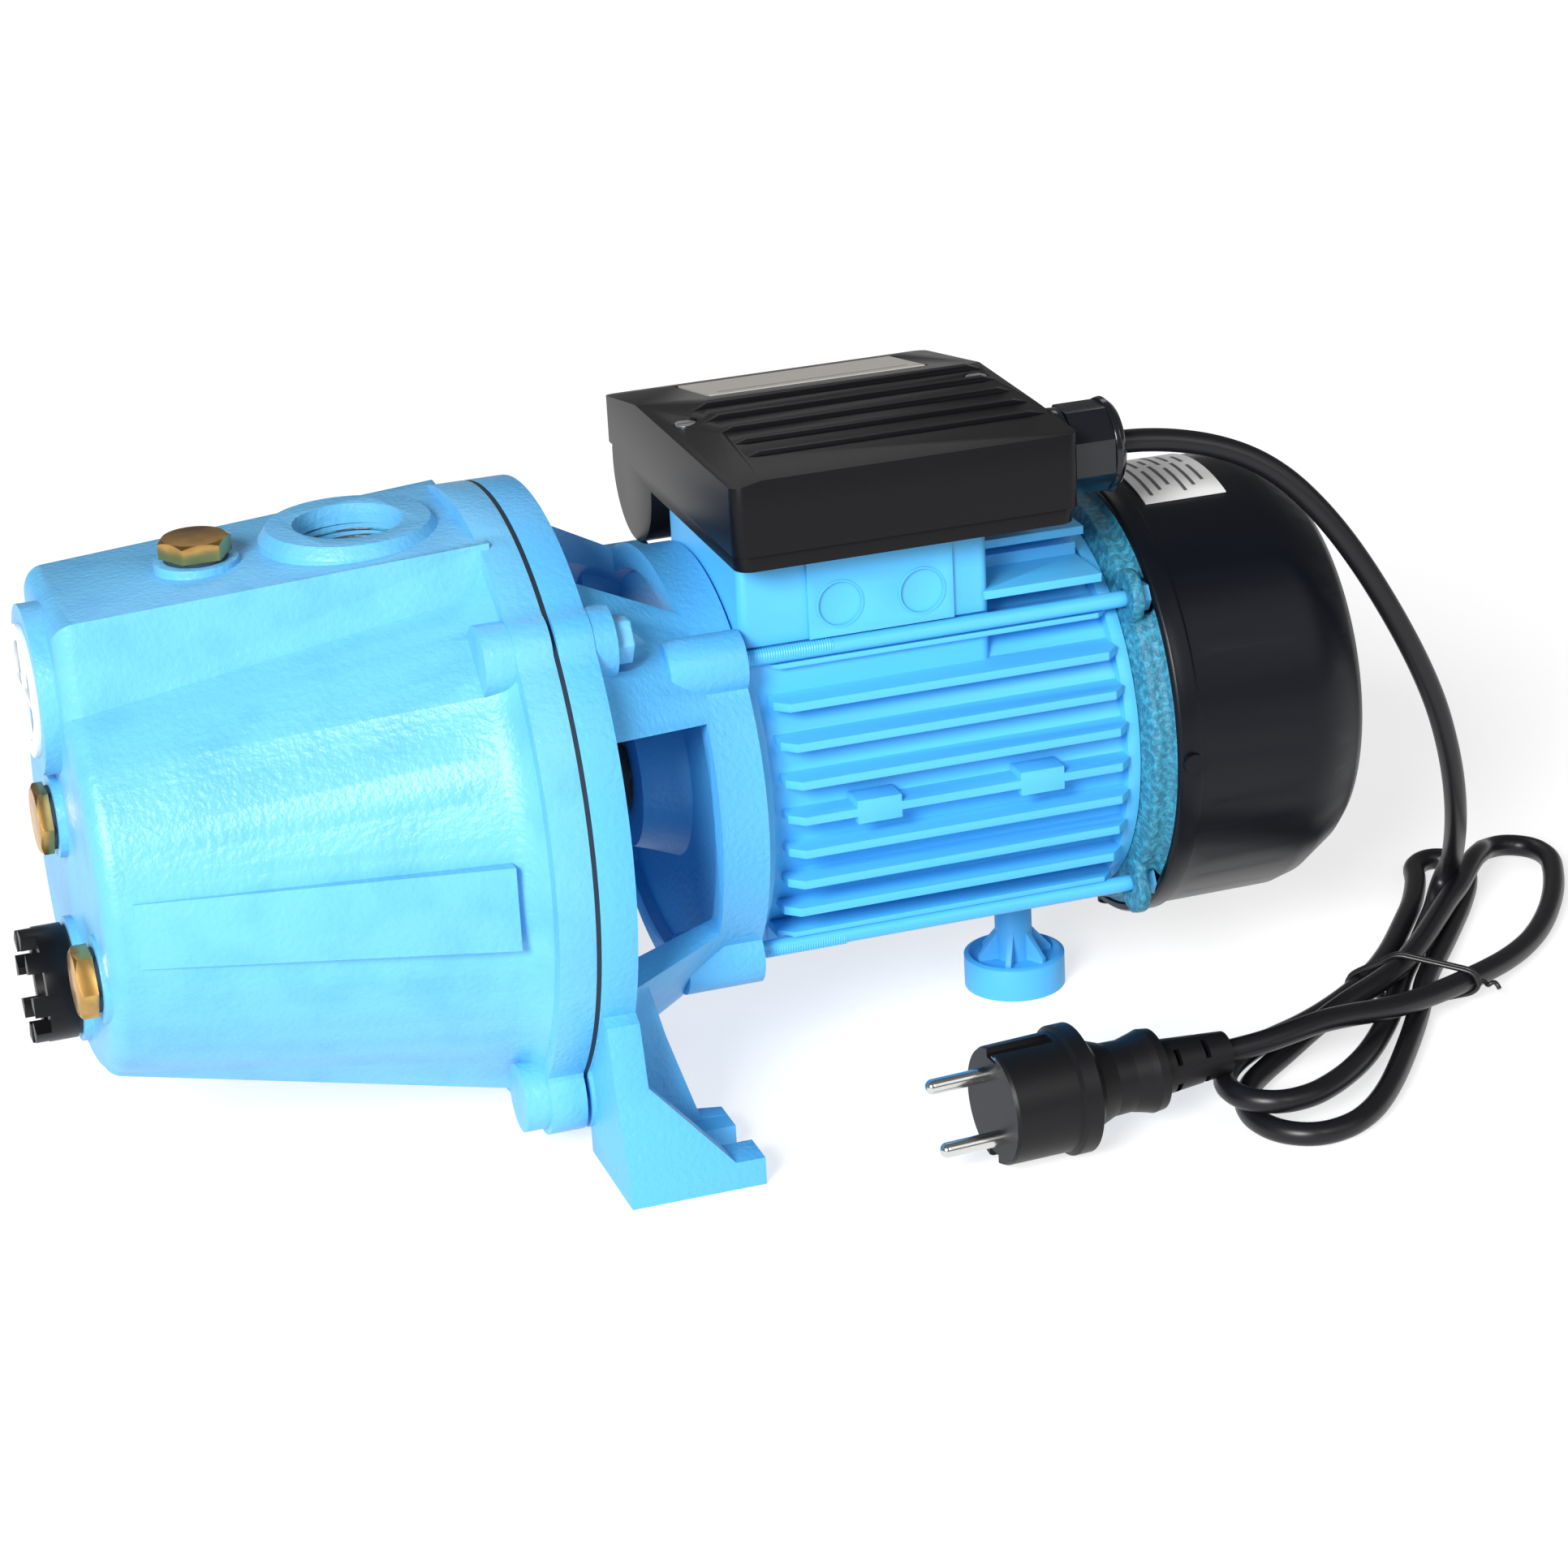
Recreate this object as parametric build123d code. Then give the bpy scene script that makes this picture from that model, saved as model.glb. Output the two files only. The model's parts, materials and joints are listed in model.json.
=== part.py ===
"""Shallow well jet pump: cast iron self-priming pump end, motor bracket and fan-cooled motor.

Frame: millimetres, +Z up, floor at Z 0, X along the shaft with the motor at +X.  The origin
is the midpoint between the two base slots on the floor; the shaft lies in the plane Y 0.
"""
from build123d import *
from math import atan, cos, degrees, pi, radians, sin, tan
import os

# ---------------------------------------------------------------- driving dimensions
SHAFT_Z = 96.0          # shaft height above the floor
JOINT_X = -32.5         # bracket face that the pump body bolts to
GASKET_T = 1.5
FLANGE_R = 95.0         # round part of both flanges
FLANGE_T = 11.0
NOSE_X = -170.0         # flat front of the pump body
NOSE_R = 64.0           # body radius at the nose
BELLY_R = 84.5          # body radius at the flange
WALL = 6.0              # casting thickness
MOTOR_X = 28.0          # bracket face that the motor housing meets
MOTOR_LEN = 122.0
TIE = 47.0              # tie rods stand at Y and Z offsets of this size
TIE_R = 2.5
HOUSING_R = 56.0
FIN_R = 65.5
FIN_PITCH = 11.0
COVER_X = 158.5         # front rim of the fan cover
COVER_R = 71.5
COVER_LEN = 68.0
SHAFT_R = 7.5
SEAL_R = 6.0            # shaft radius under the seal and the impeller
G1_R = 16.6             # thread radius of the one inch pipe ports
PLUG_R = 6.6            # thread radius of the quarter inch plugs
HEX_AF = 19.0
PLUG_SEAL_T = 1.2       # sealing washer under a plug's head
PLUG_HEAD = 5.5
PLUG_SHANK = 9.0
DISCHARGE_X, DISCHARGE_Z = -76.0, 188.5
SUCTION_X, SUCTION_Z = -175.0, 151.5
PRIMING_X, PRIMING_Z = -122.0, 184.0
GAUGE_Z = 111.0
CLEANOUT_Z = 58.5
DRAIN_Y, DRAIN_Z = -45.0, 76.5
FOOT_Y = 104.0          # half width over the feet
SLOT_Y = 85.5           # base slots stand at this half spacing
SLOT_R = 5.5
SOLE_T = 8.7
STAND_X = 129.5         # rear support foot
BEARING_R, BEARING_W = 17.5, 11.0
FRONT_BEARING_X = 10.0
BOX_X0, BOX_X1 = 24.0, 132.0
BOX_Y0, BOX_Y1 = -62.0, 72.0
BOX_Z0, BOX_SEAM, BOX_TOP = 174.5, 179.5, 203.0
LID_WALL = 2.2
LID_SCREW_Y = 5.0
LID_SEATS = ((BOX_X0 + 7, 199.6), (BOX_X1 - 7, 201.2))  # x and seat height of the two lid screws
CROWN, CROWN_Y, RIM_FAR = 203.8, 16.0, 194.0            # lid's ridge line and its low far rim
PLATE_Y = 48.5          # middle of the rating plate on the far slope
PAD_FAR_Y = 24.0        # far edge of the motor's pad, beside the capacitor's pocket
CAP_Y, CAP_Z, CAP_R = 48.0, 174.0, 21.0       # capacitor's pocket
GLAND_X, GLAND_Y, GLAND_Z = BOX_X1, -38.0, 190.0
GLAND_R = 12.2
CORD_R = 3.6
MAINS_X, MAINS_Y, MAINS_Z = 75.5, -121.0, 19.8   # centre of the mains plug's face
MAINS_YAW = 4.0
RELIEF_X = 70.0         # the cord goes into the mains plug this far behind its face
PIN_TURN = 61.0         # the mains pins' plane, measured from level
PIN_OFFSET = 9.5        # each pin's distance from the plug's axis
HANK_T = 12.6           # height of the cord's tied loops

UPPER_LUG = (57.5, SHAFT_Z + 63.5)     # casing bolts, half spacing and height
LOWER_LUG = (57.5, SHAFT_Z - 76.0)
BOLT_SPOTS = [(side * y, z) for y, z in (UPPER_LUG, LOWER_LUG) for side in (-1, 1)]
TIE_SPOTS = [(y, SHAFT_Z + z) for y in (-TIE, TIE) for z in (-TIE, TIE)]
BODY_REAR = JOINT_X - GASKET_T
REAR_X = MOTOR_X + MOTOR_LEN           # motor housing's rear end
REAR_BEARING_X = REAR_X + 1.0
NUT_FACE_X = COVER_X - 0.2             # tie rods and their nuts end here


# ---------------------------------------------------------------- shape helpers
def block(x0, x1, y0, y1, z0, z1):
    """Box from its low and high corners."""
    return Pos((x0 + x1) / 2, (y0 + y1) / 2, (z0 + z1) / 2) * Box(x1 - x0, y1 - y0, z1 - z0)


def rod(x0, x1, r, y=0.0, z=SHAFT_Z):
    """Cylinder along X."""
    return Pos((x0 + x1) / 2, y, z) * Rot(0, 90, 0) * Cylinder(r, x1 - x0)


def post(x, y, z0, z1, r):
    """Cylinder along Z."""
    return Pos(x, y, (z0 + z1) / 2) * Cylinder(r, z1 - z0)


def tube(x0, x1, r_in, r_out, y=0.0, z=SHAFT_Z):
    """Ring along X."""
    return rod(x0, x1, r_out, y, z) - rod(x0 - 1, x1 + 1, r_in, y, z)


def turned(profile, y=0.0, z=SHAFT_Z):
    """Solid of revolution about a line along X, from (x, radius) points."""
    section = Plane.XZ * make_face(Polyline(*profile, close=True))
    return Pos(0, y, z) * revolve(section, Axis.X)


def turned_up(profile, x, y):
    """Solid of revolution about a vertical line, from (radius, z) points."""
    section = Plane.XZ * make_face(Polyline(*profile, close=True))
    return Pos(x, y, 0) * revolve(section, Axis.Z)


def slab_x(points, x0, x1):
    """Outline of (y, z) points, extruded along X."""
    outline = make_face(Polyline(*points, close=True))
    return extrude(Plane((x0, 0, 0), x_dir=(0, 1, 0), z_dir=(1, 0, 0)) * outline, x1 - x0)


def slab_y(points, y0, y1):
    """Outline of (x, z) points, extruded along Y."""
    outline = make_face(Polyline(*points, close=True))
    return extrude(Plane((0, y1, 0), x_dir=(1, 0, 0), z_dir=(0, -1, 0)) * outline, y1 - y0)


def slab_z(points, z0, z1):
    """Outline of (x, y) points, extruded along Z."""
    return extrude(Plane((0, 0, z0)) * make_face(Polyline(*points, close=True)), z1 - z0)


def loft_x(front, x0, rear, x1):
    """Straight sided solid between two (y, z) outlines."""
    faces = [Plane((x, 0, 0), x_dir=(0, 1, 0), z_dir=(1, 0, 0)) * make_face(Polyline(*pts, close=True))
             for pts, x in ((front, x0), (rear, x1))]
    return loft(Sketch() + faces, ruled=True)


def hex_x(x0, x1, af, y=0.0, z=SHAFT_Z):
    """Hexagon prism along X."""
    sketch = RegularPolygon(af / 2, 6, major_radius=False)
    return extrude(Plane((x0, y, z), x_dir=(0, 1, 0), z_dir=(1, 0, 0)) * sketch, x1 - x0)


def hex_z(x, y, z0, z1, af):
    """Hexagon prism along Z."""
    return extrude(Plane((x, y, z0)) * RegularPolygon(af / 2, 6, major_radius=False), z1 - z0)


def about_shaft(shape, angle):
    """Turn a shape about the shaft line."""
    return Pos(0, 0, SHAFT_Z) * Rot(angle, 0, 0) * Pos(0, 0, -SHAFT_Z) * shape


def mirrored(shape):
    """A shape with its twin on the other side of the plane Y 0."""
    return shape + mirror(shape, Plane.XZ)


def edges_at(shape, axis, value, tol=0.05):
    """Edges that lie whole in the plane axis = value."""
    return shape.edges().filter_by_position(axis, value - tol, value + tol)


# ---------------------------------------------------------------- pump end
def flange_outline(x0, x1, hole_r):
    """Round flange with four bolt lugs; the lower pair reaches further out."""
    flange = rod(x0, x1, FLANGE_R)
    for (y, z), reach in ((UPPER_LUG, 11.5), (LOWER_LUG, 12.5)):
        lug = rod(x0, x1, reach, y, z)
        # flat cheeks run from the lug to the round rim
        arm = Vector(y, z - SHAFT_Z).normalized()
        side = Vector(-arm.Y, arm.X)
        root = Vector(0, SHAFT_Z) + arm * 62
        tip = Vector(y, z)
        spread = 44 if z > SHAFT_Z else 40
        cheek = [(root + side * spread), (tip + side * reach), (tip - side * reach), (root - side * spread)]
        lug += slab_x([(p.X, p.Y) for p in cheek], x0, x1)
        flange += mirrored(lug)
    for y, z in BOLT_SPOTS:
        flange -= rod(x0 - 1, x1 + 1, hole_r, y, z)
    return flange


def body_core(inset):
    """The pump body's bell, top channel and flat belly, shrunk by inset all round."""
    nose, rear = NOSE_X + inset, BODY_REAR - 6
    bell = turned([(nose, 0), (nose, NOSE_R - inset), (rear, BELLY_R - inset), (rear, 0)])
    channel = loft_x([(-29 + inset, 179 - inset), (29 - inset, 179 - inset), (37 - inset, 110), (-37 + inset, 110)],
                     nose,
                     [(-34 + inset, 186.5 - inset), (34 - inset, 186.5 - inset), (42 - inset, 110),
                      (-42 + inset, 110)], rear - 2)
    belly = loft_x([(-28 + inset, 38 + inset), (28 - inset, 38 + inset), (52 - inset, 62), (-52 + inset, 62)],
                   nose,
                   [(-36 + inset, 11 + inset), (36 - inset, 11 + inset), (62 - inset, 40), (-62 + inset, 40)],
                   rear)
    if not inset:
        bell = fillet(edges_at(bell, Axis.X, NOSE_X), 7)
        channel = fillet(edges_at(channel, Axis.X, NOSE_X).sort_by(Axis.Z)[1:], 7)
        belly = fillet(edges_at(belly, Axis.X, NOSE_X).sort_by(Axis.Z)[:-1], 6)
    return bell + channel + belly


def pump_body():
    """Cast shell with suction chamber, two pipe ports, plug bosses and bolt lugs."""
    shell = body_core(0) + flange_outline(BODY_REAR - FLANGE_T, BODY_REAR, 4.2)
    # fillet between the bell and its flange
    shell += turned([(BODY_REAR - 22, 0), (BODY_REAR - 22, BELLY_R - 3.5), (BODY_REAR - 14, BELLY_R + 1),
                     (BODY_REAR - 10, BELLY_R + 6), (BODY_REAR - 4, BELLY_R + 6), (BODY_REAR - 4, 0)])
    # bolt bosses ahead of the lugs
    for (y, z), length in ((UPPER_LUG, 9), (LOWER_LUG, 7)):
        shell += mirrored(rod(BODY_REAR - FLANGE_T - length, BODY_REAR - 1, 10.5, y, z))
    # raised band along each flank
    band = loft_x([(-65.5, 86), (-50, 86), (-50, 106), (-65.5, 106)], NOSE_X + 9,
                  [(-86, 80), (-70, 80), (-70, 106), (-86, 106)], BODY_REAR - 20)
    shell += mirrored(band)
    # port and plug bosses
    shell += turned_up([(0, 150), (27, 150), (27, DISCHARGE_Z - 3.5), (24.5, DISCHARGE_Z), (0, DISCHARGE_Z)],
                       DISCHARGE_X, 0)
    shell += turned_up([(0, 160), (14, 160), (12.5, PRIMING_Z), (0, PRIMING_Z)], PRIMING_X, 0)
    shell += rod(SUCTION_X, NOSE_X + 8, 25.4, 0, SUCTION_Z)
    shell += rod(NOSE_X - 2.5, NOSE_X + 8, 12.4, 0, GAUGE_Z)
    shell += rod(NOSE_X - 2.5, NOSE_X + 8, 19.0, 0, CLEANOUT_Z)
    shell += rod(NOSE_X - 1.0, NOSE_X + 12, 13.0, DRAIN_Y, DRAIN_Z)

    for y, z in BOLT_SPOTS:
        shell -= rod(BODY_REAR - FLANGE_T - 5, BODY_REAR + 1, 4.2, y, z)

    cavity = body_core(WALL) + rod(BODY_REAR - 8, BODY_REAR + 1, BELLY_R - WALL)
    cavity += turned([(BODY_REAR - 30, 0), (BODY_REAR - 30, BELLY_R - WALL - 4), (BODY_REAR - 5, BELLY_R - WALL),
                      (BODY_REAR - 5, 0)])
    # suction chamber: from the suction port down to the nozzle, closed off from the rest
    chamber = block(NOSE_X + 2, -122, -26, 26, 72, 177)
    cavity -= chamber & body_core(3)
    hollow = block(NOSE_X + WALL, -127, -20, 20, 80, 171)
    # pressure post that carries the nozzle, fed from below
    hollow -= block(NOSE_X + WALL - 1, -153, -10, 10, 79, 108)
    shell -= cavity
    shell -= hollow
    shell -= post(-158.5, 0, 70, 97, 4.0)                       # feed to the nozzle
    shell -= rod(-162, -150, 6.0)                               # nozzle seat
    shell -= rod(-130, -115, 11.0)                              # venturi seat
    # pipe ports and plug threads
    shell -= post(DISCHARGE_X, 0, 150, DISCHARGE_Z + 1, G1_R)
    shell -= rod(SUCTION_X - 1, NOSE_X + WALL + 2, G1_R, 0, SUCTION_Z)
    shell -= post(PRIMING_X, 0, 165, PRIMING_Z + 1, PLUG_R)
    shell -= rod(NOSE_X - 4, NOSE_X + WALL + 2, PLUG_R, 0, GAUGE_Z)
    shell -= rod(NOSE_X - 4, NOSE_X + WALL + 8, 13.0, 0, CLEANOUT_Z)
    shell -= rod(NOSE_X - 2, NOSE_X + 30, PLUG_R, DRAIN_Y, DRAIN_Z)
    return shell


def hex_plug_x(face_x, y, z, head, shank):
    """Hexagon head screw plug whose head stands out towards -X."""
    plug = hex_x(face_x - head, face_x, HEX_AF, y, z) & turned(
        [(face_x - head, 0), (face_x - head, HEX_AF * 0.5), (face_x - head + 1.2, HEX_AF * 0.59),
         (face_x, HEX_AF * 0.59), (face_x, 0)], y, z)
    return plug + rod(face_x - 0.5, face_x + shank, PLUG_R - 0.05, y, z)


def hex_plug_z(x, y, z, head, shank):
    """Hexagon head screw plug whose head stands up."""
    plug = hex_z(x, y, z, z + head, HEX_AF) & turned_up(
        [(0, z), (HEX_AF * 0.59, z), (HEX_AF * 0.59, z + head - 1.2), (HEX_AF * 0.5, z + head), (0, z + head)], x, y)
    return plug + post(x, y, z - shank, z + 0.5, PLUG_R - 0.05)


def cleanout_plug():
    """Big plastic screw plug with a castellated rim for a bar wrench."""
    face = NOSE_X - 2.5 - PLUG_SEAL_T
    plug = rod(face - 13, face, 17.5, 0, CLEANOUT_Z) - rod(face - 14, face - 6, 12.0, 0, CLEANOUT_Z)
    for turn in range(4):
        notch = Rot(45 * turn + 22.5, 0, 0) * Pos(face - 11.5, 0, 0) * Box(6, 50, 7)
        plug -= Pos(0, 0, CLEANOUT_Z) * notch
    return plug + rod(face - 0.5, face + 11, 12.95, 0, CLEANOUT_Z)


def thread_protector():
    """Push-in cap with a cross of thin bars across the suction port."""
    cap = tube(SUCTION_X - 1.5, SUCTION_X, G1_R - 1.6, G1_R + 3.2, 0, SUCTION_Z)
    for y, z in ((G1_R - 0.8, 1.1), (1.1, G1_R - 0.8)):
        cap += block(SUCTION_X - 1.5, SUCTION_X - 0.2, -y, y, SUCTION_Z - z, SUCTION_Z + z)
    return cap


def jet_nozzle():
    """Brass nozzle that fires along the shaft line into the venturi."""
    return turned([(-161, 3.5), (-161, 5.95), (-153, 5.95), (-153, 7.5), (-149, 7.5), (-136, 4.0), (-136, 2.6),
                   (-150, 3.5)])


def venturi_tube():
    """Moulded venturi between the suction chamber and the impeller's eye."""
    return turned([(-131, 8.5), (-131, 13.5), (-127.2, 13.5), (-127.2, 10.95), (-118, 10.95), (-100, 8.5), (-84, 13.0),
                   (-70, 13.0), (-70, 10.5), (-84, 9.5), (-104, 5.0), (-120, 5.5)])


def diffuser():
    """Front plate, outer ring and return vanes around the impeller."""
    body = turned([(-76, 13.05), (-76, 17), (-70.2, 20), (-70.2, 63), (-48, 63), (-48, 56), (-66, 56), (-66, 13.05)])
    for i in range(9):
        vane = Pos(-59, 59.5, 0) * Rot(28, 0, 0) * Box(21, 15, 2.0)
        body += about_shaft(Pos(0, 0, SHAFT_Z) * vane, 40 * i) & tube(-70, -48, 56, 68)
    return body


def impeller():
    """Closed impeller with six swept blades, eye towards the nose."""
    wheel = turned([(-63, 11), (-63, 14.5), (-60, 16), (-59.5, 52.5), (-57.5, 52.5), (-57.5, 15), (-60, 11)])
    wheel += turned([(-52, SEAL_R + 0.02), (-52, 52.5), (-50, 52.5), (-50, 12), (-46, 12), (-46, SEAL_R + 0.02)])
    wheel += turned([(-57, SEAL_R + 0.02), (-57, 9.5), (-52, 11), (-52, SEAL_R + 0.02)])
    for i in range(6):
        arc = Pos(0, 26, 0) * (Cylinder(30, 6) - Cylinder(28, 7))
        blade = (Pos(0, 6, 0) * arc) & Pos(0, -10, 0) * Box(100, 100, 6)
        blade = Rot(0, 90, 0) * blade
        blade = blade & (rod(-3, 3, 52, 0, 0) - rod(-4, 4, 12, 0, 0))
        blade = blade.solids().sort_by(Axis.Z)[-1]
        wheel += about_shaft(Pos(-54.75, 0, SHAFT_Z) * blade, 60 * i)
    return wheel - block(-60, -45, -2.0, 2.0, SHAFT_Z, SHAFT_Z + SEAL_R + 2.0)


def seal_spring():
    """Coil spring of the shaft seal, as a stack of rings joined by a sleeve."""
    rings = [Pos(x, 0, SHAFT_Z) * Rot(0, 90, 0) * Torus(10.5, 0.7) for x in (-44.8, -43.3, -41.8)]
    return rings[0] + rings[1:] + tube(-44.8, -41.8, 10.2, 10.8)


def casing_gasket():
    """Flat ring between the pump body and the bracket."""
    ring = tube(BODY_REAR, JOINT_X, BELLY_R - 4, FLANGE_R - 2)
    for y, z in BOLT_SPOTS:
        ring -= rod(BODY_REAR - 1, JOINT_X + 1, 4.2, y, z)
    return ring


def casing_bolts():
    """Four bolts with their heads on the bracket side."""
    bolts = [hex_x(JOINT_X + 18.5, JOINT_X + 24, 13, y, z) + rod(BODY_REAR - FLANGE_T - 4, JOINT_X + 19, 3.95, y, z)
             for y, z in BOLT_SPOTS]
    return Compound(children=bolts)


# ---------------------------------------------------------------- bracket

def foot():
    """Near side foot: flared wall, two gussets and a sole with a slot open to the rear."""
    wall = slab_x([(-FOOT_Y, 0), (-FOOT_Y, 9), (-95, 30), (-89, 52), (-70, 62), (-40, 50), (-52, 24), (-62, 10),
                   (-62, 0)], JOINT_X + 1, JOINT_X + FLANGE_T)
    outer = slab_y([(JOINT_X + 1, 0), (10, 0), (10, SOLE_T), (1, SOLE_T), (-26, 38), (JOINT_X + 6, 52),
                    (JOINT_X + 1, 52)], -FOOT_Y, -FOOT_Y + 30)
    outer &= slab_x([(-FOOT_Y, 0), (-FOOT_Y, 9), (-95, 30), (-89, 52), (-82, 52), (-88, 30), (-96, 9), (-96, 0)],
                    JOINT_X, 11)
    inner = slab_y([(JOINT_X + 1, 0), (8.5, 0), (8.5, SOLE_T), (0, SOLE_T + 1), (-9, 38), (-14, 58),
                    (JOINT_X + 1, 58)], -72, -66)
    sole = block(JOINT_X + 1, 10, -FOOT_Y, -SLOT_Y - SLOT_R, 0, SOLE_T)
    sole += block(JOINT_X + 1, 8.5, -SLOT_Y, -66, 0, SOLE_T)
    sole += block(JOINT_X + 1, -4, -FOOT_Y, -66, 0, SOLE_T)
    sole -= post(-4, -SLOT_Y, -1, SOLE_T + 1, SLOT_R)
    sole -= block(-4, 12, -SLOT_Y - SLOT_R, -SLOT_Y + SLOT_R, -1, SOLE_T + 1)
    return wall + outer + inner + sole


def motor_bracket():
    """Cast lantern: pump flange, four sloping arms, bearing plate and two feet."""
    rear_face = JOINT_X + FLANGE_T
    body = flange_outline(JOINT_X, rear_face, 4.2)
    # lug bosses behind the flange
    for y, z in BOLT_SPOTS:
        body += rod(JOINT_X + 2, JOINT_X + 18, 11, y, z)
    # lantern cone, opened by windows at the top, bottom and sides
    cone = turned([(rear_face - 2, 76), (rear_face - 2, 88), (MOTOR_X - 12, 67.5), (MOTOR_X, 67.5), (MOTOR_X, 60),
                   (MOTOR_X - 12, 60)])
    for angle in (0, 90, 180, 270):
        window = slab_x([(-30, 60), (30, 60), (46, 110), (-46, 110)], rear_face + 0.01, MOTOR_X - 15)
        cone -= about_shaft(Pos(0, 0, SHAFT_Z - 12) * window, angle)
    body += cone
    for y, z in TIE_SPOTS:
        body += rod(MOTOR_X - 24, MOTOR_X, 9.5, y, z)
    # bearing plate and hubs
    body += rod(MOTOR_X - 12, MOTOR_X, 62)
    body += turned([(2, 0), (2, 24), (8, 26), (MOTOR_X - 10, 30), (MOTOR_X - 10, 0)])
    body += turned([(rear_face - 2, 0), (rear_face - 2, 30), (rear_face + 7, 24), (rear_face + 7, 0)])
    body += mirrored(foot())
    for y, z in BOLT_SPOTS:
        body -= rod(JOINT_X - 1, JOINT_X + 20, 4.2, y, z)
        body -= rod(JOINT_X + 18, JOINT_X + 40, 9.5, y, z)
    for y, z in TIE_SPOTS:
        body -= rod(MOTOR_X - 15, MOTOR_X + 1, TIE_R, y, z)
    # shaft passage, seal pocket, bearing pocket, and the recess behind the plate
    body -= rod(JOINT_X - 1, MOTOR_X + 1, SHAFT_R + 1.0)
    body -= rod(JOINT_X - 1, JOINT_X + 6, 15.0)
    body -= rod(FRONT_BEARING_X, MOTOR_X + 1, BEARING_R)
    body -= rod(MOTOR_X - 5, MOTOR_X + 1, 52)
    # the bottom of the flange clears the floor
    return body - block(JOINT_X - 1, MOTOR_X, -61.9, 61.9, -20, 2.5)


# ---------------------------------------------------------------- rotating parts and bearings
def shaft():
    """Stepped shaft from the impeller nut to the fan."""
    steps = [(-62.5, -56.8, 3.95), (-56.8, -20, SEAL_R), (-20, FRONT_BEARING_X - 1, SHAFT_R),
             (FRONT_BEARING_X - 1, REAR_BEARING_X + BEARING_W, SHAFT_R), (REAR_X + 12, 196, 6.5)]
    body = rod(*steps[0])
    for x0, x1, r in steps[1:]:
        body += rod(x0, x1, r)
    body += rod(48, 140, 9.5)
    return body - block(-60, -45, -2.0, 2.0, SHAFT_Z + 3.5, SHAFT_Z + SEAL_R + 1)


def bearing(x):
    """Outer race, inner race and balls of a 15 x 35 x 11 ball bearing that starts at x."""
    mid = x + BEARING_W / 2
    groove = Pos(mid, 0, SHAFT_Z) * Rot(0, 90, 0) * Torus(12.5, 3.02)
    outer = tube(x, x + BEARING_W, 14.8, BEARING_R) - groove
    inner = tube(x, x + BEARING_W, SHAFT_R, 10.3) - groove
    balls = [about_shaft(Pos(mid, 12.5, SHAFT_Z) * Sphere(2.98), 45 * i) for i in range(8)]
    cage = tube(mid - 1.2, mid + 1.2, 11.6, 13.4)
    return outer, inner, cage + balls


def rotor_core():
    """Laminated rotor with end rings."""
    return tube(52, 122, 9.5, 30.0) + tube(47, 52, 20, 29) + tube(122, 127, 20, 29)


def fan():
    """Moulded fan with straight blades for either direction of rotation."""
    body = tube(174, 192, 6.5, 13) + tube(174, 177, 13, 58)
    for i in range(8):
        body += about_shaft(block(174, 194, -1.1, 1.1, SHAFT_Z + 12, SHAFT_Z + 58), 45 * i)
    return body


# ---------------------------------------------------------------- motor
def motor_housing():
    """Ribbed aluminium housing with a flat pad for the terminal box."""
    x0, x1 = MOTOR_X, REAR_X
    body = rod(x0, x1, HOUSING_R) + rod(x0, x0 + 4, 60.5) + rod(x1 - 4, x1, 60.5)
    fins = None
    for k in range(-4, 5):
        z = SHAFT_Z + FIN_PITCH * k
        span = (FIN_R ** 2 - (FIN_PITCH * k) ** 2) ** 0.5
        front, rear = x0 + 8, x1 - 4
        for side in (-1, 1):
            taper = [(front, side * (span - 4)), (front + 4, side * span), (rear - 4, side * span),
                     (rear, side * (span - 4)), (rear, side * 30), (front, side * 30)]
            fin = slab_z(taper, z - 1.3, z + 1.3)
            fins = fin if fins is None else fins + fin
    for k in range(-3, 4):
        y = FIN_PITCH * k
        reach = (FIN_R ** 2 - y ** 2) ** 0.5 - 2
        fins += block(x0 + 8, x1 - 4, y - 1.3, y + 1.3, SHAFT_Z - reach, SHAFT_Z - 40)
    # short fins beside the pad, under the box
    for z, reach in ((SHAFT_Z + 55, 47), (SHAFT_Z + 66, 33)):
        fins += block(x0 + 78, x1 - 6, -reach, PAD_FAR_Y, z - 1.3, z + 1.3)
    fins += block(x0 + 78, x1 - 6, -26, PAD_FAR_Y, SHAFT_Z + 40, SHAFT_Z + 60)
    body += fins
    # pad, its raised panel and round blanked cable entries
    pad = block(x0 + 1, x0 + 80, -46, PAD_FAR_Y, SHAFT_Z + 25, BOX_Z0 - 1)
    pad = fillet(pad.edges().filter_by(Axis.Z), 3)
    pad += block(x0 + 22, x0 + 68, -47.5, 0, SHAFT_Z + 43, BOX_Z0 - 3)
    for x in (x0 + 32, x0 + 58):
        pad -= Pos(x, -47.5, SHAFT_Z + 60) * Rot(90, 0, 0) * Cylinder(7, 1.6)
    body += pad
    # oblong ejector bosses on the middle fin, and the support foot's boss
    for x in (x0 + 35.6, x0 + 87.9):
        for side in (-1, 1):
            body += block(x - 7, x + 7, side * 61 - 4.5, side * 61 + 4.5, SHAFT_Z - 3.7, SHAFT_Z + 3.7)
    body += post(STAND_X, 0, SHAFT_Z - 64, SHAFT_Z - 50, 9)
    for y, z in TIE_SPOTS:
        body -= rod(x0 - 1, x1 + 1, TIE_R + 0.6, y, z)
    body -= rod(x0 - 1, x1 + 1, 52.0)
    # wire passage into the terminal box
    return body - post(x0 + 45, 0, SHAFT_Z + 40, BOX_Z0 + 1, 12) - post(STAND_X, 0, 20, SHAFT_Z - 51, 2.5)


def stator_core():
    """Laminated stator with slots for the windings."""
    core = tube(52, 122, 30.6, 51.9)
    for i in range(24):
        core -= about_shaft(block(51, 123, -2.0, 2.0, SHAFT_Z + 32.5, SHAFT_Z + 44), 15 * i)
    return core


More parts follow.
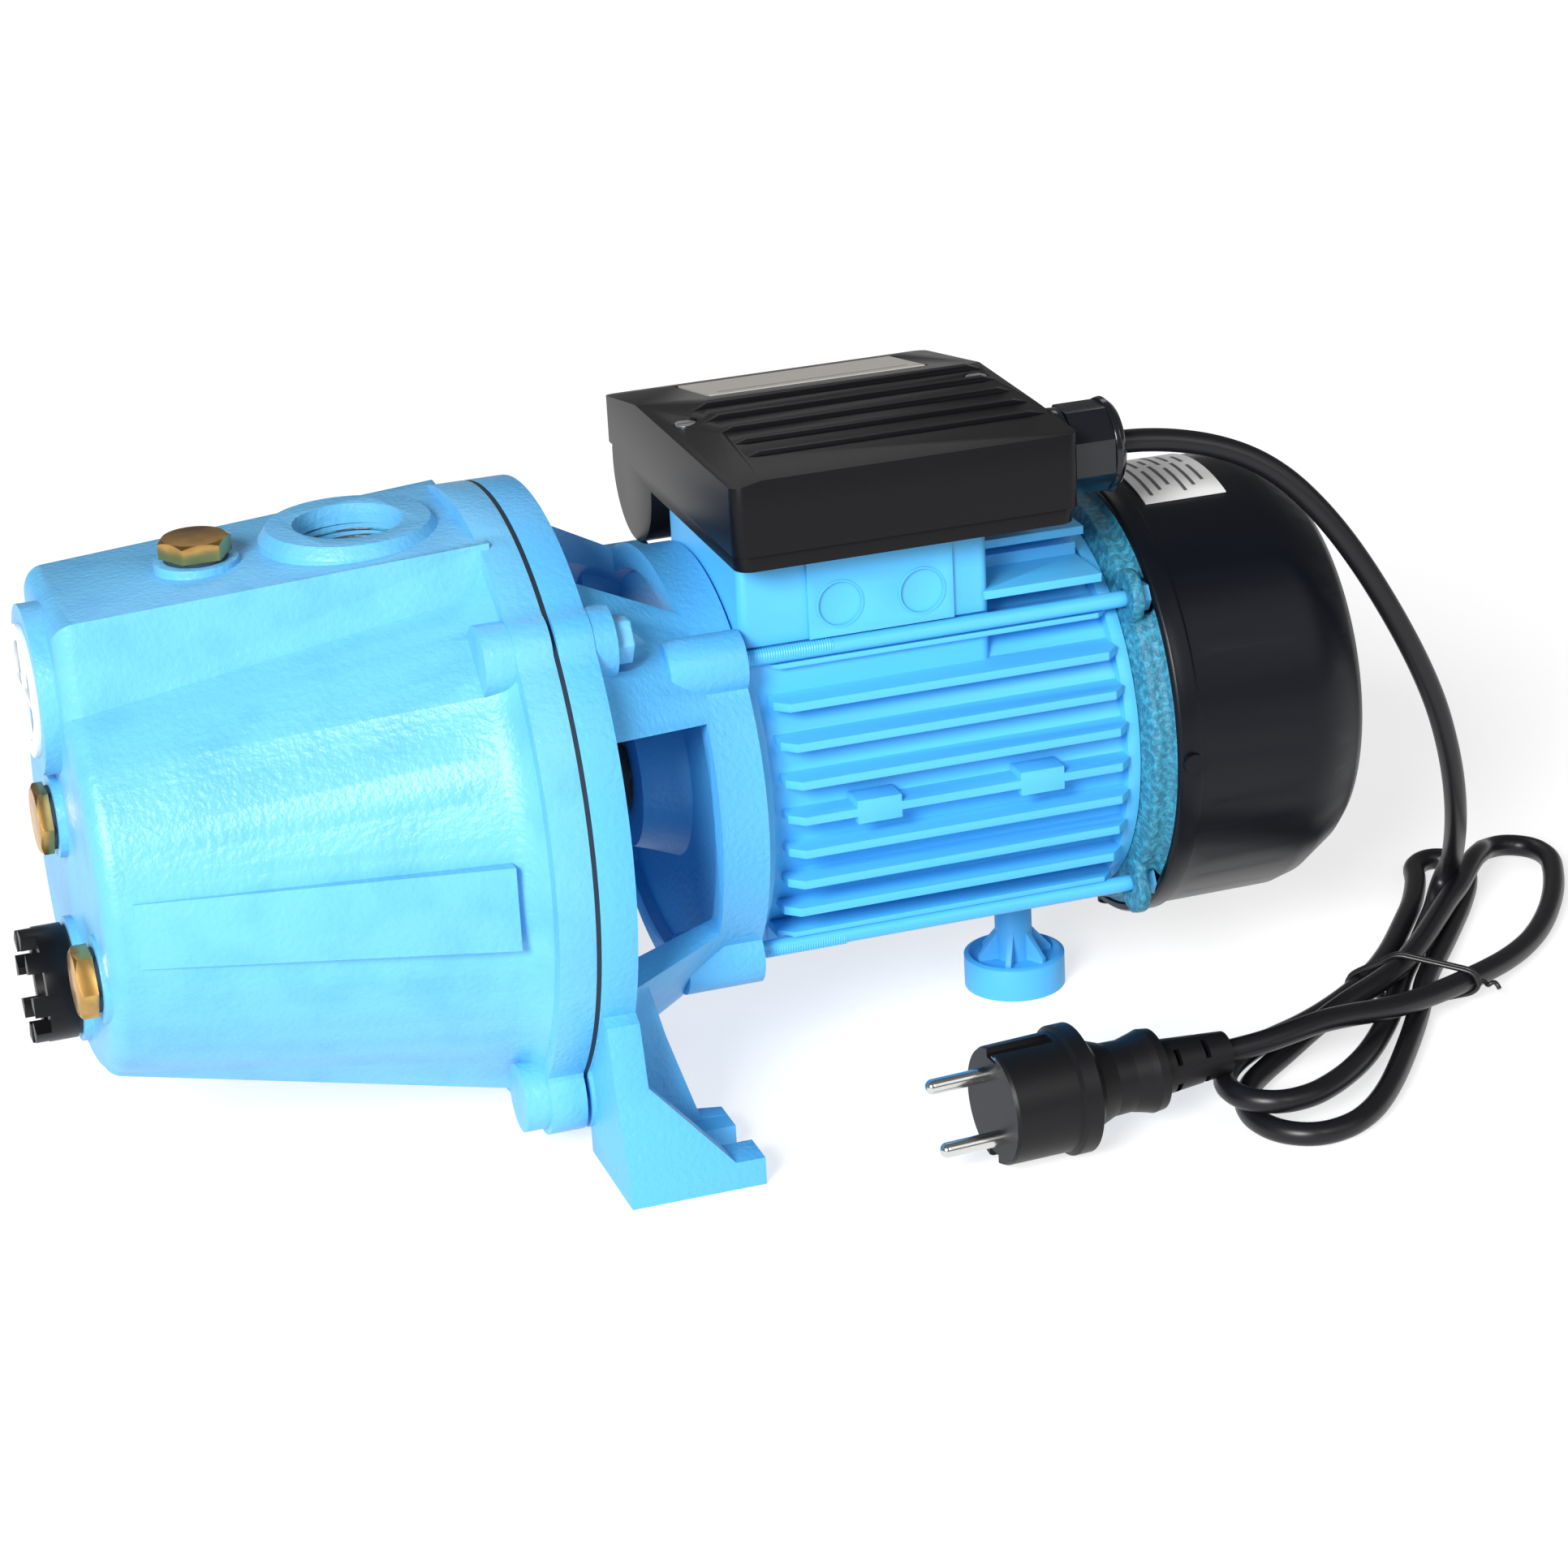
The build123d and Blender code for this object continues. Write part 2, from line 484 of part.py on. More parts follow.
def stator_windings():
    """End turns joined by the slot conductors."""
    coil = turned([(42, 34), (38, 40), (42, 47), (51.5, 47), (51.5, 34)])
    coil += turned([(122.5, 34), (122.5, 47), (132, 47), (136, 40), (132, 34)])
    for i in range(24):
        coil += about_shaft(block(51, 123, -1.8, 1.8, SHAFT_Z + 34.2, SHAFT_Z + 43.8), 15 * i)
    return coil


def rear_end_shield():
    """Cast rear cover with the bearing pocket and four tie rod lugs."""
    x0 = REAR_X
    spigot = COVER_R - 2.5
    body = turned([(x0, 0), (x0, 60), (x0 + 3, 66), (x0 + 8, 66), (x0 + 8.6, spigot), (x0 + 15, spigot), (x0 + 18, 60),
                   (x0 + 18, 0)])
    body -= turned([(x0 - 1, 24), (x0 - 1, 52), (x0 + 8, 50), (x0 + 12, 38), (x0 + 12, 24)])
    for y, z in TIE_SPOTS:
        arm = Vector(y, z - SHAFT_Z).normalized()
        body += rod(x0 + 0.5, x0 + 5, 8.5, y + arm.X * 1.5, z + arm.Y * 1.5)
    for y, z in TIE_SPOTS:
        body -= rod(x0 - 1, x0 + 20, TIE_R + 0.3, y, z)
        body -= rod(x0 + 5, x0 + 20, 5.5, y, z)
    for angle in (0, 90, 180, 270):
        body -= about_shaft(post(COVER_X + 4, 0, SHAFT_Z + 62, SHAFT_Z + 72, 1.65), angle)
    return body - rod(x0 - 1, x0 + 1 + BEARING_W + 1.5, BEARING_R) - rod(x0 - 1, x0 + 20, 8.5)


def tie_rods():
    """Four long studs, threaded where they enter the bracket."""
    rods = [rod(MOTOR_X - 14.9, NUT_FACE_X, TIE_R - 0.02, y, z) for y, z in TIE_SPOTS]
    return Compound(children=rods)


def tie_rod_nuts():
    """Hexagon nuts on the tie rods."""
    return Compound(children=[hex_x(REAR_X + 5.05, NUT_FACE_X, 8, y, z) - rod(REAR_X, REAR_X + 20, TIE_R, y, z)
                              for y, z in TIE_SPOTS])


def fan_cover():
    """Drawn steel cowl: rolled front hem, drum, rounded shoulder and a slotted end."""
    x0, x1 = COVER_X, COVER_X + COVER_LEN
    outer = [(x0, 0), (x0, COVER_R - 0.8), (x0 + 1, COVER_R), (x0 + 7, COVER_R), (x0 + 8, COVER_R - 1.2),
             (x0 + 46, COVER_R - 1.4), (x0 + 53, COVER_R - 3.2), (x0 + 64, COVER_R - 10), (x0 + 67, COVER_R - 13),
             (x1, COVER_R - 17), (x1, 0)]
    inner = [(x0 - 1, 0), (x0 - 1, COVER_R - 2.4), (x0 + 46, COVER_R - 2.8), (x0 + 53, COVER_R - 4.6),
             (x0 + 63.5, COVER_R - 11), (x1 - 1.4, COVER_R - 18.5), (x1 - 1.4, 0)]
    body = turned(outer) - turned(inner)
    # end grille: three rings of curved slots
    for radius, width, count in ((18, 4.0, 6), (29, 4.5, 8), (41, 5.0, 12)):
        ring = tube(x1 - 4, x1 + 2, radius - width / 2, radius + width / 2)
        half = degrees(4.0 / radius)
        for i in range(count):
            step = 360 / count
            reach = step - 2 * half
            section = [(0, 0)] + [(80 * sin(radians(-reach / 2 + reach * k / 4)),
                                   80 * cos(radians(-reach / 2 + reach * k / 4))) for k in range(5)]
            wedge = Pos(0, 0, SHAFT_Z) * slab_x(section, x1 - 5, x1 + 3)
            body -= ring & about_shaft(wedge, step * i)
    for angle in (0, 90, 180, 270):
        body -= about_shaft(post(x0 + 4, 0, SHAFT_Z + 60, SHAFT_Z + 75, 1.8), angle)
    return body


def fan_cover_screws():
    """Four small screws that hold the fan cover's hem to the rear end shield."""
    screws = []
    for angle in (0, 90, 180, 270):
        screw = post(COVER_X + 4, 0, SHAFT_Z + COVER_R + 0.05, SHAFT_Z + COVER_R + 1.8, 3.2)
        screw += post(COVER_X + 4, 0, SHAFT_Z + 63, SHAFT_Z + COVER_R + 0.1, 1.6)
        screws.append(about_shaft(screw, angle))
    return Compound(children=screws)


# ---------------------------------------------------------------- terminal box
def gland_hole():
    """Space that the gland's barrel takes up in the box's end wall."""
    return rod(GLAND_X - 8, GLAND_X + 1, GLAND_R + 0.05, GLAND_Y, GLAND_Z)


def box_base():
    """Tray of the terminal box with the capacitor's half round pocket on the far side."""
    tray = block(BOX_X0 + 1, BOX_X1 - 1, BOX_Y0 + 1.2, BOX_Y1 - 0.6, BOX_Z0, BOX_SEAM - 0.1)
    tray = fillet(tray.edges().filter_by(Axis.Z), 5)
    tray = tray - block(BOX_X0 + 3.2, BOX_X1 - 3.2, BOX_Y0 + 3.4, BOX_Y1 - 2.8, BOX_Z0 + 2.2, BOX_SEAM + 1)
    bulge = rod(BOX_X0 + 1, BOX_X0 + 84, CAP_R, CAP_Y, CAP_Z)
    bulge += block(BOX_X0 + 1, BOX_X0 + 84, CAP_Y - CAP_R, CAP_Y + CAP_R, CAP_Z, BOX_SEAM - 2)
    bulge -= rod(BOX_X0 + 3.2, BOX_X0 + 81.8, CAP_R - 2.0, CAP_Y, CAP_Z)
    bulge -= block(BOX_X0 + 3.2, BOX_X0 + 81.8, CAP_Y - CAP_R + 2, CAP_Y + CAP_R - 2, CAP_Z, BOX_SEAM + 40)
    bulge &= block(BOX_X0, BOX_X1, 0, 100, 100, BOX_SEAM - 0.1)
    tray -= block(BOX_X0 + 3.2, BOX_X0 + 81.8, CAP_Y - CAP_R + 2, CAP_Y + CAP_R - 2, BOX_Z0 - 1, BOX_SEAM + 1)
    tray = tray + bulge
    return tray - post(MOTOR_X + 45, 0, BOX_Z0 - 1, BOX_SEAM, 11) - gland_hole()


def lid_solid(inset):
    """Outside of the lid shrunk by inset: level ribbed crown, long slope to the far side."""
    x0, x1, y0, y1 = BOX_X0 + inset, BOX_X1 - inset, BOX_Y0 + inset, BOX_Y1 - inset
    rim_near, rim_far, crown = BOX_TOP - 0.6 - inset, RIM_FAR - inset, CROWN - inset
    side = slab_x([(y0, BOX_SEAM), (y0, rim_near), (CROWN_Y, crown), (y1, rim_far), (y1, BOX_SEAM)], x0, x1)
    ends = slab_y([(x0, BOX_SEAM), (x0, crown - 3.4), (x0 + 16, crown + 0.1), (x1 - 8, crown + 0.1),
                   (x1, crown - 0.8), (x1, BOX_SEAM)], y0 - 1, y1 + 1)
    return side & ends


def on_far_slope(shape, lift):
    """The shape laid on the lid's long far slope, its middle lift above the surface."""
    fall = (CROWN - RIM_FAR) / (BOX_Y1 - CROWN_Y)
    height = CROWN - (PLATE_Y - CROWN_Y) * fall + lift
    return Pos(BOX_X0 + 58.5, PLATE_Y, height) * Rot(-degrees(atan(fall)), 0, 0) * shape


def box_lid():
    """Lid with five cooling style ribs, a label recess and two screw recesses."""
    shell = lid_solid(0)
    shell = fillet(shell.edges().filter_by(Axis.Z).filter_by(lambda e: e.length > 8), 4)
    shell -= lid_solid(LID_WALL) & block(BOX_X0, BOX_X1, BOX_Y0, BOX_Y1, BOX_SEAM - 1, BOX_TOP + 1.2)
    shell -= block(BOX_X0 + LID_WALL, BOX_X1 - LID_WALL, BOX_Y0 + LID_WALL, BOX_Y1 - LID_WALL, BOX_SEAM - 1,
                   BOX_SEAM + 4)
    for i in range(5):
        y, top = 12.6 - 12.8 * i, CROWN + 1.35 - 0.3 * i
        shell += slab_y([(BOX_X0 + 8, CROWN - 4), (BOX_X0 + 8, CROWN - 2.2), (BOX_X0 + 16, top), (BOX_X1 - 7, top),
                         (BOX_X1 - 1, CROWN - 1.2), (BOX_X1 - 1, CROWN - 2.2), (BOX_X0 + 16, CROWN - 1.7)],
                        y - 1.2, y + 1.2)
    shell -= on_far_slope(Box(73, 36.5, 1.6), 0.3)
    for x, seat in LID_SEATS:
        shell += post(x, LID_SCREW_Y, BOX_SEAM + 10, seat + 0.2, 4.6)
        shell -= post(x, LID_SCREW_Y, seat, CROWN + 5, 3.6) + post(x, LID_SCREW_Y, BOX_SEAM, seat + 1, 1.9)
    return shell - gland_hole()


def lid_screws():
    """Two recessed pan head screws."""
    screws = []
    for x, seat in LID_SEATS:
        head = post(x, LID_SCREW_Y, seat, seat + 2.2, 3.3)
        head -= block(x - 2.6, x + 2.6, LID_SCREW_Y - 0.5, LID_SCREW_Y + 0.5, seat + 1.2, seat + 3)
        screws.append(head + post(x, LID_SCREW_Y, BOX_Z0 + 2.2, seat + 0.1, 1.7))
    return Compound(children=screws)


def box_gasket():
    """Flat seal between the terminal box and the motor's pad."""
    plate = block(MOTOR_X + 4, MOTOR_X + 78, -43, PAD_FAR_Y, BOX_Z0 - 1.0, BOX_Z0)
    return plate - post(MOTOR_X + 45, 0, BOX_Z0 - 2, BOX_Z0 + 1, 12)


def terminal_block():
    """Moulded terminal strip with brass screws on it."""
    strip = block(MOTOR_X + 25, MOTOR_X + 75, -42, -24, BOX_Z0 + 2.2, BOX_Z0 + 12)
    for i in range(5):
        x = MOTOR_X + 30 + 10 * i
        strip -= block(x - 3.5, x + 3.5, -40, -26, BOX_Z0 + 7, BOX_Z0 + 13)
    return strip


def terminal_screws():
    """Ten screws of the terminal strip."""
    return Compound(children=[post(MOTOR_X + 30 + 10 * i, y, BOX_Z0 + 7, BOX_Z0 + 10, 2.4)
                              for i in range(5) for y in (-37, -29)])


def capacitor():
    """Round run capacitor with two blade terminals."""
    can = rod(BOX_X0 + 6, BOX_X0 + 74, 17.5, CAP_Y, CAP_Z)
    can = fillet(edges_at(can, Axis.X, BOX_X0 + 6), 2)
    for y in (CAP_Y - 5, CAP_Y + 5):
        can += block(BOX_X0 + 73, BOX_X0 + 80, y - 0.4, y + 0.4, CAP_Z - 3.1, CAP_Z + 3.1)
    return can


def gland_body():
    """Ribbed barrel of the cable gland, held in the lid's end wall."""
    barrel = tube(GLAND_X - 6, GLAND_X + 7, 8.3, GLAND_R, GLAND_Y, GLAND_Z)
    return barrel + tube(GLAND_X, GLAND_X + 3, 8.3, 13.2, GLAND_Y, GLAND_Z)


def gland_nut():
    """Faceted clamping nut with a lipped mouth."""
    nut = extrude(Plane((GLAND_X + 3.2, GLAND_Y, GLAND_Z), x_dir=(0, 1, 0), z_dir=(1, 0, 0))
                  * RegularPolygon(14.0, 8, rotation=22.5), 13)
    nut += turned([(GLAND_X + 16, 0), (GLAND_X + 16, 14.2), (GLAND_X + 17.5, 14.6), (GLAND_X + 19.5, 13.0),
                   (GLAND_X + 19.5, 0)], GLAND_Y, GLAND_Z)
    for x0, x1, r in ((3, 7.2, GLAND_R + 0.05), (7, 14.2, 8.4), (12, 22, 5.2)):
        nut -= rod(GLAND_X + x0, GLAND_X + x1, r, GLAND_Y, GLAND_Z)
    return nut


def gland_seal():
    """Rubber ring squeezed onto the cord."""
    return tube(GLAND_X + 1, GLAND_X + 14, CORD_R, 8.2, GLAND_Y, GLAND_Z)


# ---------------------------------------------------------------- cord and plug
def on_plug(shape):
    """Place a shape drawn along +X from the plug's face centre."""
    return Pos(MAINS_X, MAINS_Y, MAINS_Z) * Rot(0, 0, MAINS_YAW) * shape


def pin_spots():
    """The two pins' places across the plug's face."""
    y, z = PIN_OFFSET * cos(radians(PIN_TURN)), PIN_OFFSET * sin(radians(PIN_TURN))
    return [(-y, -z), (y, z)]


def behind_face(reach):
    """Point on the plug's axis, this far behind its face."""
    return (MAINS_X + reach * cos(radians(MAINS_YAW)), MAINS_Y + reach * sin(radians(MAINS_YAW)), MAINS_Z)


def plug_body():
    """Moulded two pin earthed plug: round nose, flange, waisted grip and slotted relief."""
    profile = [(0, 0), (0, 17.5), (1, 18.0), (21, 18.2), (22, 19.7), (27, 19.7), (28.5, 17), (31, 13.5), (37, 11.2),
               (43, 11.0), (48, 12.2), (50, 12.8), (53, 12.4), (54, 8.6), (77, 6.6), (77, 0)]
    body = turned(profile, 0, 0)
    for side in (-1, 1):
        body -= block(-1, 19, -3.0, 3.0, side * 17 - 2.2, side * 17 + 2.2)      # earth contact grooves
        for i in range(4):
            body -= block(57.5 + 5 * i, 59.3 + 5 * i, -10, 10, side * (i % 2) * 6 - 2.0 + side * 5, side * (i % 2) * 6
                          + 2.0 + side * 5)
    body -= rod(RELIEF_X, 78, CORD_R, 0, 0)
    for y, z in pin_spots():
        body -= rod(-1, 8, 2.35, y, z)
    return on_plug(body)


def plug_pins():
    """Two round pins with domed tips."""
    pins = []
    for y, z in pin_spots():
        pin = rod(-17, 7.9, 2.35, y, z) + Pos(-17, y, z) * Sphere(2.35)
        pins.append(on_plug(pin))
    return Compound(children=pins)


# ---------------------------------------------------------------- small parts
def support_foot():
    """Plastic rear stand: ribbed stem on a round sole."""
    stand = turned_up([(0, 0), (16.3, 0), (16.3, 10.5), (14.8, 11.2), (13.2, 9.5), (6, 9.5), (6, 32), (0, 32)],
                      STAND_X, 0)
    for i in range(6):
        web = slab_y([(5, 9), (12.5, 9), (12.5, 11), (5, 20)], -0.9, 0.9)
        stand += Pos(STAND_X, 0, 0) * Rot(0, 0, 60 * i) * web
    return stand - post(STAND_X, 0, 3, 33, 2.6)


def rating_plate():
    """Blank metal plate in the lid's recess."""
    return on_far_slope(Box(71, 34.5, 0.6), -0.1)


def cover_label():
    """Blank paper label wrapped on top of the fan cover."""
    label = tube(COVER_X + 11, COVER_X + 38, COVER_R - 1.15, COVER_R - 0.75)
    wedge = [(0, 0)] + [(100 * sin(radians(-18 + 9 * k)), 100 * cos(radians(-18 + 9 * k))) for k in range(5)]
    return label & Pos(0, 0, SHAFT_Z) * slab_x(wedge, COVER_X, COVER_X + 60)


def fan_clip():
    """Spring clip behind the fan's hub."""
    ring = tube(192.2, 193.4, 6.5, 9.5)
    return ring - block(190, 195, -2, 2, SHAFT_Z + 5, SHAFT_Z + 12)


def seal_head():
    """Carbon ring and carrier that turn with the shaft."""
    return turned([(-41.0, SEAL_R + 0.02), (-41.0, 12), (-39.5, 12), (-39.5, 10.5), (-36.05, 10.5),
                   (-36.05, SEAL_R + 0.02)])


def seal_seat():
    """Ceramic seat with its rubber cup, pressed into the bracket."""
    return turned([(-36.0, SEAL_R + 1.5), (-36.0, 13), (JOINT_X, 14.95), (JOINT_X + 6, 14.95), (JOINT_X + 6, 9),
                   (JOINT_X, 9)])


# ---------------------------------------------------------------- mains cord
LEAD_ROUTE = [(138, GLAND_Y, GLAND_Z), (168, GLAND_Y, GLAND_Z), (198, -45, 181.5), (218, -53, 160), (236, -56, 130),
              (252, -54, 99), (262, -48, 72), (269, -37, 46), (275, -22, 23), (277, -11, 6)]
TAIL_ROUTE = [behind_face(RELIEF_X), behind_face(RELIEF_X + 22), (190, -105, 19.2), (210.5, -98, 14.5)]
HANK_OUTLINE = [(152, -130), (153, -147), (164, -157), (180, -156), (196, -144), (211, -125), (226, -98), (248, -86),
                (284, -62), (318, -22), (331, 12), (331, 33), (318, 38), (295, 34), (282, 24), (262, -18), (238, -47),
                (212, -62), (185, -76), (166, -96), (158, -116)]


def cord_along(points, name):
    """Round cord along straight runs joined by tangent arcs as large as the runs allow."""
    corners = [Vector(*p) for p in points]
    radii = []
    for before, here, after in zip(corners, corners[1:], corners[2:]):
        turn = (here - before).get_angle(after - here)
        shorter = min((here - before).length, (after - here).length)
        radii.append(0.45 * shorter / tan(radians(turn / 2)))
    path = FilletPolyline(*corners, radius=radii)
    section = Plane(origin=corners[0], z_dir=corners[1] - corners[0]) * Circle(CORD_R)
    cord = sweep(section, path=path)
    print(name, "radii", [round(r) for r in radii], "length", round(path.length, 1), "volume ratio",
          round(cord.volume / (pi * CORD_R ** 2 * path.length), 4))
    return cord


def cord_hank():
    """Outer shape of the cord's tied loops, lying on the floor."""
    slab = slab_z(HANK_OUTLINE, 0, HANK_T)
    return fillet(slab.edges().filter_by_position(Axis.Z, HANK_T - 0.05, HANK_T + 0.05), 3)


# ---------------------------------------------------------------- all parts
front_outer, front_inner, front_balls = bearing(FRONT_BEARING_X)
rear_outer, rear_inner, rear_balls = bearing(REAR_BEARING_X)
seal_front = NOSE_X - 2.5

PARTS = {
    "pump_body": pump_body(),
    "suction_thread_protector": thread_protector(),
    "priming_plug": hex_plug_z(PRIMING_X, 0, PRIMING_Z + PLUG_SEAL_T, PLUG_HEAD, PLUG_SHANK),
    "priming_plug_seal": post(PRIMING_X, 0, PRIMING_Z, PRIMING_Z + PLUG_SEAL_T, 9.6)
    - post(PRIMING_X, 0, PRIMING_Z - 1, PRIMING_Z + 3, PLUG_R),
    "drain_plug": hex_plug_x(NOSE_X - 1 - PLUG_SEAL_T, DRAIN_Y, DRAIN_Z, PLUG_HEAD, PLUG_SHANK),
    "drain_plug_seal": tube(NOSE_X - 1 - PLUG_SEAL_T, NOSE_X - 1, PLUG_R, 9.6, DRAIN_Y, DRAIN_Z),
    "gauge_plug": hex_plug_x(seal_front - PLUG_SEAL_T, 0, GAUGE_Z, 4.0, PLUG_SHANK),
    "gauge_plug_seal": tube(seal_front - PLUG_SEAL_T, seal_front, PLUG_R, 9.6, 0, GAUGE_Z),
    "cleanout_plug": cleanout_plug(),
    "cleanout_plug_seal": tube(seal_front - PLUG_SEAL_T, seal_front, 13.0, 16.5, 0, CLEANOUT_Z),
    "jet_nozzle": jet_nozzle(),
    "venturi_tube": venturi_tube(),
    "diffuser": diffuser(),
    "impeller": impeller(),
    "impeller_nut": hex_x(-61.5, -57.05, 13) - rod(-63, -56, 3.98),
    "impeller_key": block(-56.5, -46.5, -1.95, 1.95, SHAFT_Z + 3.55, SHAFT_Z + 7.9),
    "seal_seat": seal_seat(),
    "seal_head": seal_head(),
    "seal_spring": seal_spring(),
    "casing_gasket": casing_gasket(),
    "motor_bracket": motor_bracket(),
    "casing_bolts": casing_bolts(),
    "shaft": shaft(),
    "shaft_slinger": tube(-2, 1, SHAFT_R, 14),
    "rotor_core": rotor_core(),
    "front_bearing_outer": front_outer,
    "front_bearing_inner": front_inner,
    "front_bearing_balls": front_balls,
    "rear_bearing_outer": rear_outer,
    "rear_bearing_inner": rear_inner,
    "rear_bearing_balls": rear_balls,
    "wave_washer": tube(REAR_BEARING_X + BEARING_W, REAR_BEARING_X + BEARING_W + 1.5, 14.0, 17.2),
    "stator_core": stator_core(),
    "stator_windings": stator_windings(),
    "motor_housing": motor_housing(),
    "rear_end_shield": rear_end_shield(),
    "tie_rods": tie_rods(),
    "tie_rod_nuts": tie_rod_nuts(),
    "fan": fan(),
    "fan_clip": fan_clip(),
    "fan_cover": fan_cover(),
    "fan_cover_screws": fan_cover_screws(),
    "fan_cover_label": cover_label(),
    "terminal_box_base": box_base(),
    "terminal_box_lid": box_lid(),
    "terminal_box_gasket": box_gasket(),
    "lid_screws": lid_screws(),
    "terminal_block": terminal_block(),
    "terminal_screws": terminal_screws(),
    "capacitor": capacitor(),
    "rating_plate": rating_plate(),
    "gland_body": gland_body(),
    "gland_nut": gland_nut(),
    "gland_seal": gland_seal(),
    "support_foot": support_foot(),
    "cord_lead": cord_along(LEAD_ROUTE, "cord_lead"),
    "cord_hank": cord_hank(),
    "cord_tail": cord_along(TAIL_ROUTE, "cord_tail"),
    "plug_body": plug_body(),
    "plug_pins": plug_pins(),
}

os.makedirs("parts", exist_ok=True)
for node, shape in PARTS.items():
    export_step(shape, f"parts/{node}.step")
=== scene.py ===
"""Looks of the shallow well jet pump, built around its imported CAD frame.

Lengths are mm and are turned to m by MM, unless a comment says otherwise.
"""

import json
from math import cos, pi, radians, sin

import bmesh
import bpy
import numpy as np
from mathutils import Matrix, Vector

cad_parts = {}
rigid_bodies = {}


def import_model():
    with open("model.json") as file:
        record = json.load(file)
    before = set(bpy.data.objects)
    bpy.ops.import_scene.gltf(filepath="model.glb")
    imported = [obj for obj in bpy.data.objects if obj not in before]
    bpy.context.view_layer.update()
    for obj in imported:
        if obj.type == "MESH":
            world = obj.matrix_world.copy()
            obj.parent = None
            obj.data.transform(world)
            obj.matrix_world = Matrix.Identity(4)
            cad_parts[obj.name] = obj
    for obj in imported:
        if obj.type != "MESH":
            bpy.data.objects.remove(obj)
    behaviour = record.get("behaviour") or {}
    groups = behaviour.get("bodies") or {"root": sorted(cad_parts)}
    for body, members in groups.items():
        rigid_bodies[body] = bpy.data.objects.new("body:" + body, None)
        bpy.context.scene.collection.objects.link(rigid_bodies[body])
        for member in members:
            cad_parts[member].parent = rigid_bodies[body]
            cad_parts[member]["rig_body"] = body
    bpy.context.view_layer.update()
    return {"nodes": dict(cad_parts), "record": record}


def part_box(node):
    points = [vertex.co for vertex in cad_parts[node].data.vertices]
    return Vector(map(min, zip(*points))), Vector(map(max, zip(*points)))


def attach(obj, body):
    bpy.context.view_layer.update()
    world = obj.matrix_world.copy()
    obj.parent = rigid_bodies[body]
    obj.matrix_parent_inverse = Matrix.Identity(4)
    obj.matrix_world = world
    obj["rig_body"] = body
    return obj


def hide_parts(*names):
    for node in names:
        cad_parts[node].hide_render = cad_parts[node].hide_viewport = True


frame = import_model()
nodes = frame["nodes"]

# Sizes of the object that the looks share, in mm
MM = 0.001
SHAFT_Z = 96                      # height of the motor's axis
ROD_OFFSET = 47.5                 # tie rods stand this far from the axis, in y and in z
PAD_Y = -47.5                     # near face of the pad under the terminal box
DISCHARGE_X = -76                 # axis of the discharge port
PLUG_FACE = (75.5, -121, 19.8)    # centre of the mains plug's face
PLUG_YAW = 4                      # degrees
CORD_D = 7.2


# ------------------------------------------------------------------ camera
def look(yaw, pitch, roll):
    """Rotation of a camera that faces +Y, then is turned right, tipped down and rolled; in radians."""
    flat = Vector((sin(yaw), cos(yaw), 0))
    ahead = flat * cos(pitch) - Vector((0, 0, sin(pitch)))
    up = flat * sin(pitch) + Vector((0, 0, cos(pitch)))
    right = Vector((cos(yaw), -sin(yaw), 0))
    x = right * cos(roll) + up * sin(roll)
    y = up * cos(roll) - right * sin(roll)
    return Matrix((x, y, -ahead)).transposed().to_4x4()


camera_data = bpy.data.cameras.new("camera")
camera_data.lens = 97.68
camera_data.sensor_width = 36
camera_data.clip_end = 20
camera = bpy.data.objects.new("camera", camera_data)
camera.matrix_world = Matrix.Translation((-0.31635, -1.18135, 0.57340)) @ look(
    radians(17.4274), radians(21.6465), radians(-3.0620))
bpy.context.scene.collection.objects.link(camera)
bpy.context.scene.camera = camera


# --------------------------------------------------------------- materials
def material(name, color, rough=0.5, metal=0.0, bump=0.0, scale=400.0, detail=3.0, spots=None, spec=0.5,
             stretch=None):
    """Procedural surface.

    spots is (second colour, noise value where it starts, value where it is full, noise scale).
    bump is the height in m of a grain with the given noise scale; stretch scales the noise by axis.
    """
    m = bpy.data.materials.new(name)
    m.use_nodes = True
    m.diffuse_color = (*color, 1)
    t = m.node_tree
    b = t.nodes["Principled BSDF"]
    b.inputs["Base Color"].default_value = (*color, 1)
    b.inputs["Roughness"].default_value = rough
    b.inputs["Metallic"].default_value = metal
    b.inputs["Specular IOR Level"].default_value = spec
    coords = t.nodes.new("ShaderNodeTexCoord")
    where = coords.outputs["Object"]
    if stretch:
        mapping = t.nodes.new("ShaderNodeMapping")
        mapping.inputs["Scale"].default_value = stretch
        t.links.new(where, mapping.inputs["Vector"])
        where = mapping.outputs["Vector"]
    if spots:
        other, low, high, spot_scale = spots
        noise = t.nodes.new("ShaderNodeTexNoise")
        noise.inputs["Scale"].default_value = spot_scale
        noise.inputs["Detail"].default_value = 5
        ramp = t.nodes.new("ShaderNodeValToRGB")
        ramp.color_ramp.elements[0].position = low
        ramp.color_ramp.elements[0].color = (*color, 1)
        ramp.color_ramp.elements[1].position = high
        ramp.color_ramp.elements[1].color = (*other, 1)
        t.links.new(where, noise.inputs["Vector"])
        t.links.new(noise.outputs["Fac"], ramp.inputs["Fac"])
        t.links.new(ramp.outputs["Color"], b.inputs["Base Color"])
    if bump:
        grain = t.nodes.new("ShaderNodeTexNoise")
        grain.inputs["Scale"].default_value = scale
        grain.inputs["Detail"].default_value = detail
        push = t.nodes.new("ShaderNodeBump")
        push.inputs["Distance"].default_value = bump
        push.inputs["Strength"].default_value = 1.0
        t.links.new(where, grain.inputs["Vector"])
        t.links.new(grain.outputs["Fac"], push.inputs["Height"])
        t.links.new(push.outputs["Normal"], b.inputs["Normal"])
    return m


